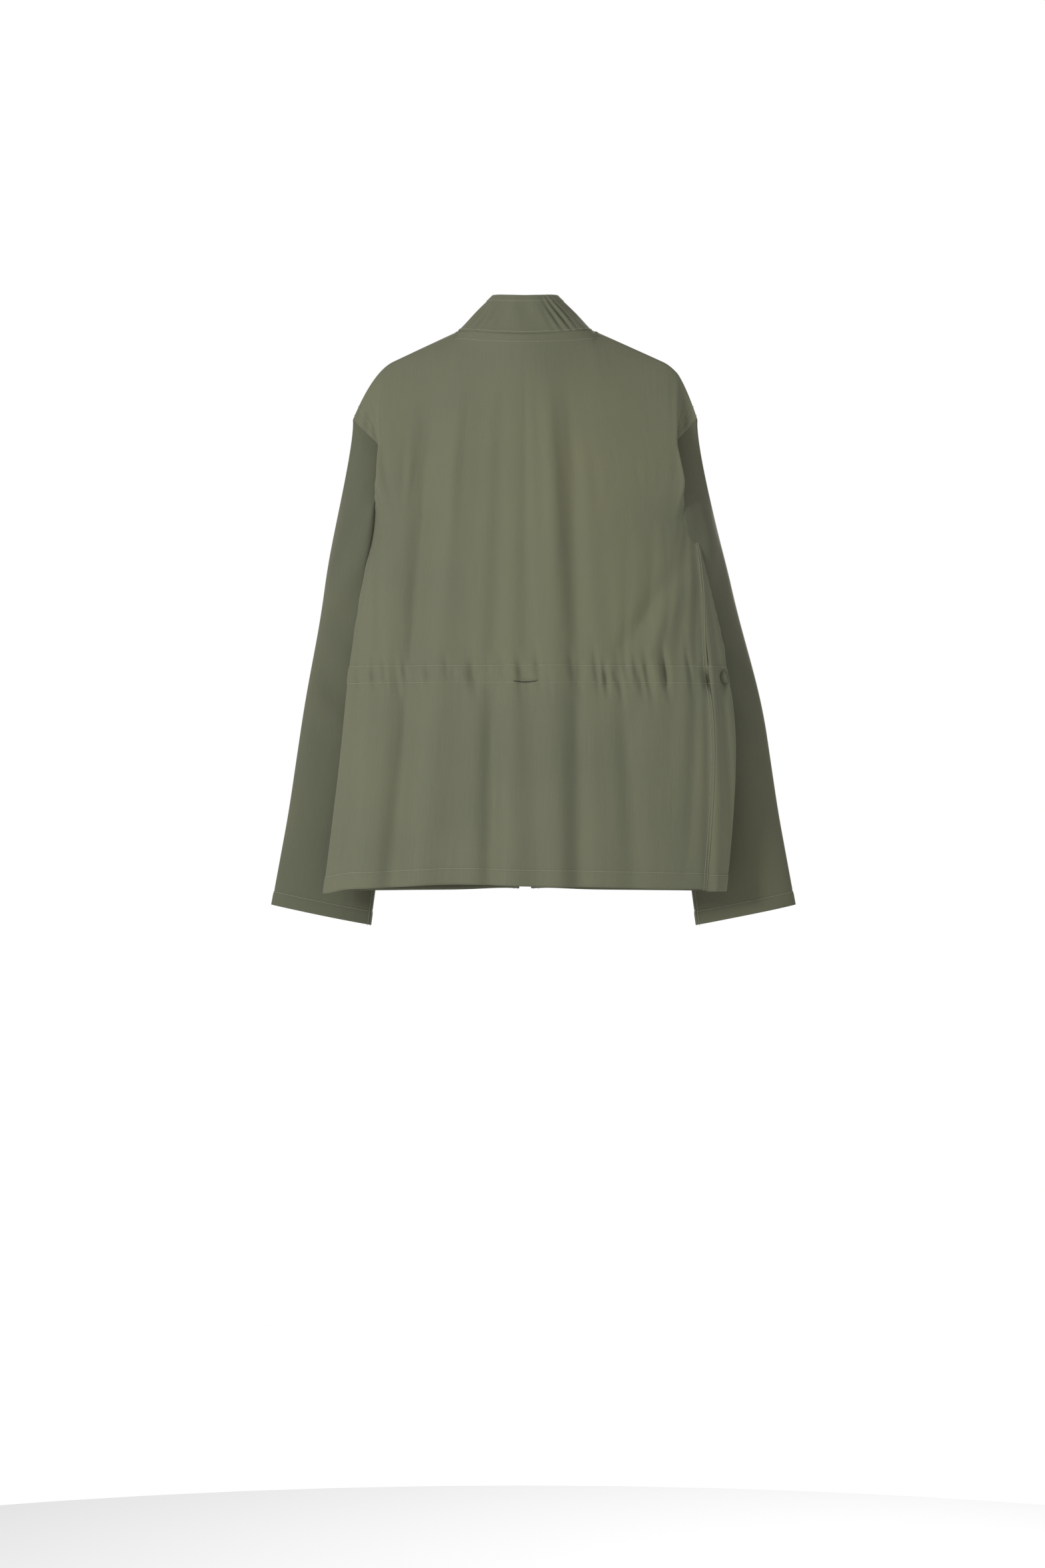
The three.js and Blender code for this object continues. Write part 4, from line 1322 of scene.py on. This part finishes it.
# %% Zip tapes
for side, name in HANDS:
    up = np.linspace(12, ZIP_TOP + 8, 220)[:, None]
    across = np.linspace(3.0, 12.0, 10)[None, :]
    grid = on_zip(side * across, 1.1 + 0.9 * smooth((across - 6.4) / 2) + 0.05 * np.sin(up * 2.0), up)
    piece = cloth_piece("zip_tape_cloth_" + name, grid, TO_FRONT, tape_cloth, 0.7)
    belongs(piece, "shell", "zip_tape_" + name)

# %% [markdown]
# A zip's teeth are one casting repeated, so the row tree lays them too, with the tooth in place of the
# float of thread. The two sides are half a step apart, so they mesh.

# %% One tooth
def tooth_mesh():
    """A tooth: a foot clamped on the tape and a narrower head, in unit size."""
    half_plan = [(0.5, -0.5), (0.5, 0.1), (0.28, 0.3), (0.28, 0.5)]
    plan = [(-0.5, -0.5)] + half_plan + [(-x, y) for x, y in half_plan[:0:-1]]
    points = [(x, y, -0.5) for x, y in plan] + [(0.8 * x, 0.9 * y, 0.5) for x, y in plan]
    n = len(plan)
    faces = [tuple(range(n - 1, -1, -1)), tuple(range(n, 2 * n))]
    faces += [(i, (i + 1) % n, n + (i + 1) % n, n + i) for i in range(n)]
    mesh = bpy.data.meshes.new("zip_tooth")
    mesh.from_pydata(points, [], faces)
    return set_out("zip_tooth", mesh)


TOOTH_STEP = 2.5
zip_tooth = tooth_mesh()
tooth_tree = row_tree("zip_tooth_rows", brass)
for side, name in HANDS:
    shift = TOOTH_STEP / 2 if side > 0 else 0
    up = np.array([14.6 + shift, ZIP_TOP - 1.0])
    if side > 0:
        up = up[::-1]
    path = on_zip(side * 1.9, 0.9, up)
    out = np.tile(on_zip(0, -1, 0) - on_zip(0, 0, 0), (2, 1))
    piece = repeat_on_rows(
        "zip_teeth_row_" + name, [(path, out)], tooth_tree, zip_tooth,
        {"Step": TOOTH_STEP, "Length": 1.35, "Width": 3.1, "Height": 2.0, "Wander": 0.0},
    )
    belongs(piece, "shell", "zip_teeth_" + name)
print("zip of", int((ZIP_TOP - 14) / TOOTH_STEP), "teeth a side")

# %% [markdown]
# Two small blocks stop the slider at the top, and a box holds the two tapes together at the bottom.

# %% Stops and retainer
for side, name in HANDS:
    x0, x1 = sorted((side * 1.0, side * 4.0))
    stop = zip_plate("zip_stop_" + name, rounded(x0, x1, ZIP_TOP + 0.4, ZIP_TOP + 4, 0.7), -0.3, 2.4, brass)
    belongs(stop, "shell", "zip_top_stop_" + name)
retainer = zip_plate("zip_retainer_box", rounded(-4.4, 4.4, 3, 13.4, 1.0), -0.4, 3.0, brass)
belongs(retainer, "shell", "zip_retainer")

# %% [markdown]
# The slider is two shield-shaped plates joined by a post, and the teeth run between them. The bridge is two
# ears with a pin on the front plate, and the pull hangs from the pin by its eye. All are flat castings, so
# each is an outline with a thickness and a small bevel, which costs less than a sculpted shape.

# %% Slider, bridge and pull
SLIDER_UP = ZIP_TOP - 10.0


def shield(half_top, half_bottom, low, high):
    return [(half_top * 0.75, high), (half_top, high - 2.2), (half_top, high - 4.5), (half_bottom, low + 1.4),
            (half_bottom * 0.7, low), (-half_bottom * 0.7, low), (-half_bottom, low + 1.4),
            (-half_top, high - 4.5), (-half_top, high - 2.2), (-half_top * 0.75, high)]


def joined(name, parts):
    """Several closed solids as one piece."""
    shape = bmesh.new()
    for part in parts:
        part.modifiers.clear()
        shape.from_mesh(part.data)
        bpy.data.objects.remove(part)
    mesh = bpy.data.meshes.new(name)
    shape.to_mesh(mesh)
    shape.free()
    mesh.materials.append(brass)
    obj = set_out(name, mesh)
    bevelled(obj, 0.25)
    return obj


low, high = SLIDER_UP - 6, SLIDER_UP + 6
slider_piece = joined("zip_slider_body", [
    zip_plate("front_plate", shield(5.6, 4.6, low, high), -2.0, 1.4, brass),
    zip_plate("back_plate", shield(5.6, 4.6, low, high), 2.6, 1.4, brass),
    zip_plate("post", rounded(-0.25, 0.25, high - 3.4, high - 1, 0.2), -0.6, 3.2, brass),
])
belongs(slider_piece, "slider", "zip_slider")

PIN_INTO = -5.0


def across_bar(name, radius, x0, x1, into, up, bore=0.0, sides=28):
    """A round bar across the zip, or a barrel if it has a bore."""
    profile = [(x0, radius), (x1, radius)]
    if bore:
        profile += [(x1, bore), (x0, bore)]
    else:
        profile = [(x0, 0.01)] + profile + [(x1, 0.01)]
    turn = full_turn(sides)
    rings = np.stack([on_zip(x, into + r * np.cos(turn), up + r * np.sin(turn)) for x, r in profile])
    index = closed(np.arange(len(profile) * sides).reshape(-1, sides))
    if bore:
        index = np.concatenate([index, index[:1]], axis=0)
    faces = grid_faces(index, False)
    if not bore:
        faces += [tuple(int(i) for i in index[0, :-1]), tuple(int(i) for i in index[-1, :-1][::-1])]
    obj = object_from(name, rings.reshape(-1, 3), faces, brass)
    close_and_turn_out(obj)
    shade(obj.data, False)
    return obj


EARS_X, EAR_THICK, EAR_RADIUS = (-4.0, 3.0), 1.0, 1.5
ears = [across_bar("ear", EAR_RADIUS, x, x + EAR_THICK, PIN_INTO, SLIDER_UP) for x in EARS_X]
foot_low, foot_high = SLIDER_UP - EAR_RADIUS, SLIDER_UP + EAR_RADIUS
feet = []
for x in EARS_X:
    outline = [(x, foot_low), (x + EAR_THICK, foot_low), (x + EAR_THICK, foot_high), (x, foot_high)]
    feet.append(zip_plate("foot", outline, PIN_INTO, 3.1, brass))
pin = across_bar("pin", 0.6, -3.2, 3.2, PIN_INTO, SLIDER_UP)
bridge_piece = joined("zip_bridge_ears", ears + feet + [pin])
belongs(bridge_piece, "slider", "zip_bridge")

tab = rounded(-2.5, 2.5, SLIDER_UP - 28, SLIDER_UP - 1.9, 1.2)
pull_piece = joined("zip_pull_tab", [
    zip_plate("tab", tab, PIN_INTO - 0.6, 1.2, brass),
    across_bar("eye", 2.3, -2.5, 2.5, PIN_INTO, SLIDER_UP, bore=1.3),
    zip_plate("rim", rounded(-1.6, 1.6, SLIDER_UP - 26.6, SLIDER_UP - 17, 1.0), PIN_INTO - 0.85, 1.7, brass),
])
belongs(pull_piece, "pull", "zip_pull")
print("slider at", [round(float(v), 1) for v in on_zip(0, 0, SLIDER_UP)])

# %% [markdown]
# A guard of lining cloth lies behind the zip, a loop to hang the jacket by stands in the neck, and a plain
# woven label is sewn below it.

# %% Guard, loop and label
up = np.linspace(8, 636, 200)[:, None]
across = np.linspace(-19, 26, 24)[None, :]
guard_into = 4.4 - 2.0 * smooth((across - 9) / 17) + 0.25 * np.sin(up / 23.0) * bump(across, -8, 8)
guard_grid = on_zip(across, guard_into, up)
guard_piece = cloth_piece("zip_guard", guard_grid, TO_FRONT, inner_cloth, 0.8)
belongs(guard_piece, "shell", "wind_guard")
declare_cut(guard_piece, guard_grid)
for column in (2.5, 20.5):
    shell_rows.append(grid_row(guard_grid, 1, lambda g: at_column(g, column), lift=-0.9))

t = np.linspace(-1, 1, 41)[None, :]
rise = np.linspace(0.05, 0.2, 7)[:, None]
loop_grid = collar_point(math.pi + 0.34 * t, rise + 0 * t, -(3.6 + 10.0 * np.cos(t * math.pi / 2) ** 0.8))
loop_piece = cloth_piece("neck_loop", loop_grid, TO_BACK, shell_cloth, 1.2)
belongs(loop_piece, "shell", "hang_loop")

x, z = np.meshgrid(np.linspace(-26, 26, 40), np.linspace(-48, -19, 24))
label_grid = on_cloth(1, x, z, -1.8)
label_piece = cloth_piece("label_patch", label_grid, TO_FRONT, label_cloth, 0.5)
belongs(label_piece, "shell", "neck_label")

# %% [markdown]
# Four bellows pockets stand off the fronts. Each is one patch of cloth whose sides and bottom fold down to
# the front, with a flap that closes over its mouth on a snap.

# %% Pockets
POCKETS = {
    "chest": {"x0": 42.0, "x1": 148.0, "top": -205.0, "bottom": -320.0},
    "hip": {"x0": 42.0, "x1": 150.0, "top": -500.0, "bottom": -655.0},
}
BELLOWS, FOLD_WIDTH = 11.0, 7.0
FLAP_ABOVE, FLAP_BELOW, FLAP_OVER, SNAP_DROP = 14.0, 36.0, 3.0, 21.0
FLAP_HINGE_OUT, FLAP_OUT = 4.8, 13.4  # how far a flap stands off the front at its hinge and below it


def pouch_lift(p, x, z):
    """How far a pocket stands off: full in the middle, down to the front at its sides and bottom."""
    from_side = np.minimum(x - p["x0"], p["x1"] - x)
    from_edge = np.minimum(from_side, z - p["bottom"])
    stand = 0.9 + (BELLOWS - 0.9) * smooth(from_edge / FOLD_WIDTH) ** 0.7
    sag = 0.7 * np.sin((x - p["x0"]) / 9.0) * np.sin((z - p["bottom"]) / 21.0)
    return stand - 1.1 + sag * smooth(from_edge / 18)


def flap_lift(p, x, z):
    down = p["top"] + FLAP_ABOVE - z
    wave = 0.35 * np.sin((x - p["x0"]) / 7.0) * smooth((down - 12) / 20)
    return mix(FLAP_HINGE_OUT, FLAP_OUT, smooth(down / 12) ** 0.8) + wave


flap_rows = {}
for kind, p in POCKETS.items():
    for side, hand in HANDS:
        x = np.linspace(p["x0"], p["x1"], 74)[None, :]
        z = np.linspace(p["bottom"], p["top"], int((p["top"] - p["bottom"]) / 1.5))[:, None]
        x, z = np.broadcast_arrays(x, z)
        grid = on_cloth(-1, side * x, z, pouch_lift(p, x, z))
        pouch = cloth_piece(f"{kind}_pouch_{hand}", grid, TO_FRONT, shell_cloth, 1.2)
        belongs(pouch, "shell", f"{kind}_pocket_{hand}")
        declare_cut(pouch, grid)
        sign = outward_sign(grid, TO_FRONT)
        for inset in (6.2, 67.0):
            shell_rows.append(grid_row(grid, sign, lambda g: at_column(g, inset)))
        shell_rows.append(grid_row(grid, sign, lambda g: at_row(g, 5.8)))
        shell_rows.append(grid_row(grid, sign, lambda g: at_row(g, g.shape[0] - 13)))

# %% [markdown]
# A flap is hinged just above its pouch and falls over the mouth. Its lower edge is cut in a shallow curve.
# It is shaped shut, a finger's breadth off the front, because it has to clear the full pouch below it.

# %% Flaps
for kind, p in POCKETS.items():
    for side, hand in HANDS:
        across = np.linspace(0, 1, 76)[None, :]
        down = np.linspace(0, 1, 40)[:, None]
        x = mix(p["x0"] - FLAP_OVER, p["x1"] + FLAP_OVER, across) + 0 * down
        edge = FLAP_BELOW - 7.0 * np.abs(2 * across - 1) ** 2.2
        z = p["top"] + FLAP_ABOVE - down * (FLAP_ABOVE + edge)
        grid = on_cloth(-1, side * x, z, flap_lift(p, x, z) + 0.5 * smooth((down - 0.93) / 0.03))
        flap = cloth_piece(f"{kind}_flap_{hand}_cloth", grid, TO_FRONT, shell_cloth, 1.3)
        body = f"{kind}_flap_{hand}"
        belongs(flap, body, f"{kind}_pocket_flap_{hand}")
        declare_cut(flap, grid)
        sign = outward_sign(grid, TO_FRONT)
        flap_rows[body] = [
            grid_row(grid, sign, lambda g: at_row(g, 34.5)),
            grid_row(grid, sign, lambda g: at_row(g, 8)),
            grid_row(grid, sign, lambda g: at_column(g, 4)[8:35]),
            grid_row(grid, sign, lambda g: at_column(g, 71)[8:35]),
        ]
print("pouches and flaps", len(POCKETS) * 4)

# %% [markdown]
# Each flap closes with a snap: a domed cap on the flap and a stud below it on the pocket. Both are turned
# about their middle from one half outline.

# %% Snaps
def turned(name, profile, middle, out, sides=40):
    """Turns an outline of (radius, height) about the line that points out of the cloth."""
    out = out / np.linalg.norm(out)
    side = np.cross(out, (0, 0, 1.0))
    side /= np.linalg.norm(side)
    rise = np.cross(side, out)
    turn = full_turn(sides)[:, None]
    spokes = side * np.cos(turn) + rise * np.sin(turn)
    rings = np.concatenate([middle + out * h + r * spokes for r, h in profile])
    index = np.arange(len(profile) * sides).reshape(-1, sides)
    faces = grid_faces(closed(index), False)
    faces += [tuple(int(i) for i in index[0]), tuple(int(i) for i in index[-1][::-1])]
    obj = object_from(name, rings, faces, brass)
    close_and_turn_out(obj)
    return obj


CAP = [(5.4, 0), (5.9, 0.15), (6.0, 0.45), (5.8, 0.8), (5.3, 0.95), (4.9, 0.9), (4.6, 1.05), (3.8, 1.5),
       (2.6, 1.85), (1.3, 1.98), (0.05, 2.0)]
STUD = [(4.2, 0), (4.5, 0.1), (4.5, 0.35), (4.1, 0.5), (2.4, 0.5), (2.2, 0.6), (2.2, 0.9), (1.9, 1.0),
        (0.05, 1.0)]
for kind, p in POCKETS.items():
    for side, hand in HANDS:
        x, z = (p["x0"] + p["x1"]) / 2, p["top"] - SNAP_DROP
        at_flap = on_cloth(-1, side * x, z, flap_lift(p, x, z) + 0.05)
        at_pouch = on_cloth(-1, side * x, z, pouch_lift(p, x, z) + 0.02)
        out = on_cloth(-1, side * x, z, 1.0) - on_cloth(-1, side * x, z, 0.0)
        cap = turned(f"{kind}_snap_cap_{hand}", CAP, at_flap, out)
        belongs(cap, f"{kind}_flap_{hand}", f"{kind}_pocket_cap_{hand}")
        stud = turned(f"{kind}_snap_stud_{hand}", STUD, at_pouch, out)
        belongs(stud, "shell", f"{kind}_pocket_stud_{hand}")

# %% [markdown]
# The rows have been gathered piece by piece, and each body gets its own, because a flap takes its stitches
# along when it lifts.

# %% Lay the stitches
for name, rows, body in (
    [("stitches_shell", shell_rows, "shell")]
    + [("stitches_sleeve_" + ("left" if s > 0 else "right"), r, None) for s, r in sleeve_rows.items()]
    + [("stitches_" + b, r, b) for b, r in flap_rows.items()]
):
    piece = repeat_on_rows(name, rows, stitch_tree, stitch_float, STITCH)
    shell[name] = piece
    if body:
        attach(piece, body)
    print(name, len(piece.data.polygons), "faces")
for shape in (stitch_float, zip_tooth):
    bpy.data.objects.remove(shape)

# %% [markdown]
# Each sleeve and its stitches have their placement baked into their points. A start line and an end line
# are worked out at each shoulder, where a sleeve leaves the armhole, but nothing reads them.

# %% Bake the sleeves' placement
BEND_START, BEND_END = np.array((0.214, -0.02, -0.20)), np.array((0.232, -0.04, -0.40))
for side, hand in HANDS:
    for piece in (shell[hand], shell["stitches_sleeve_" + hand]):
        start, end = BEND_START * (side, 1, 1), BEND_END * (side, 1, 1)
        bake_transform(piece)

# %% [markdown]
# The floor is a plain pale disc far below the hem, wide enough to fill the lower part of any view.

# %% Floor
floor_mesh = bpy.data.meshes.new("floor")
disc = bmesh.new()
bmesh.ops.create_circle(disc, cap_ends=True, segments=96, radius=3.2)
disc.to_mesh(floor_mesh)
disc.free()
floor_mesh.transform(Matrix.Translation((0, 0, -2.15)))
floor_material, _, floor_shader = new_material("pale_floor")
floor_shader.inputs["Base Color"].default_value = (0.92, 0.92, 0.92, 1)
floor_shader.inputs["Roughness"].default_value = 0.9
floor_mesh.materials.append(floor_material)
set_out("floor", floor_mesh)
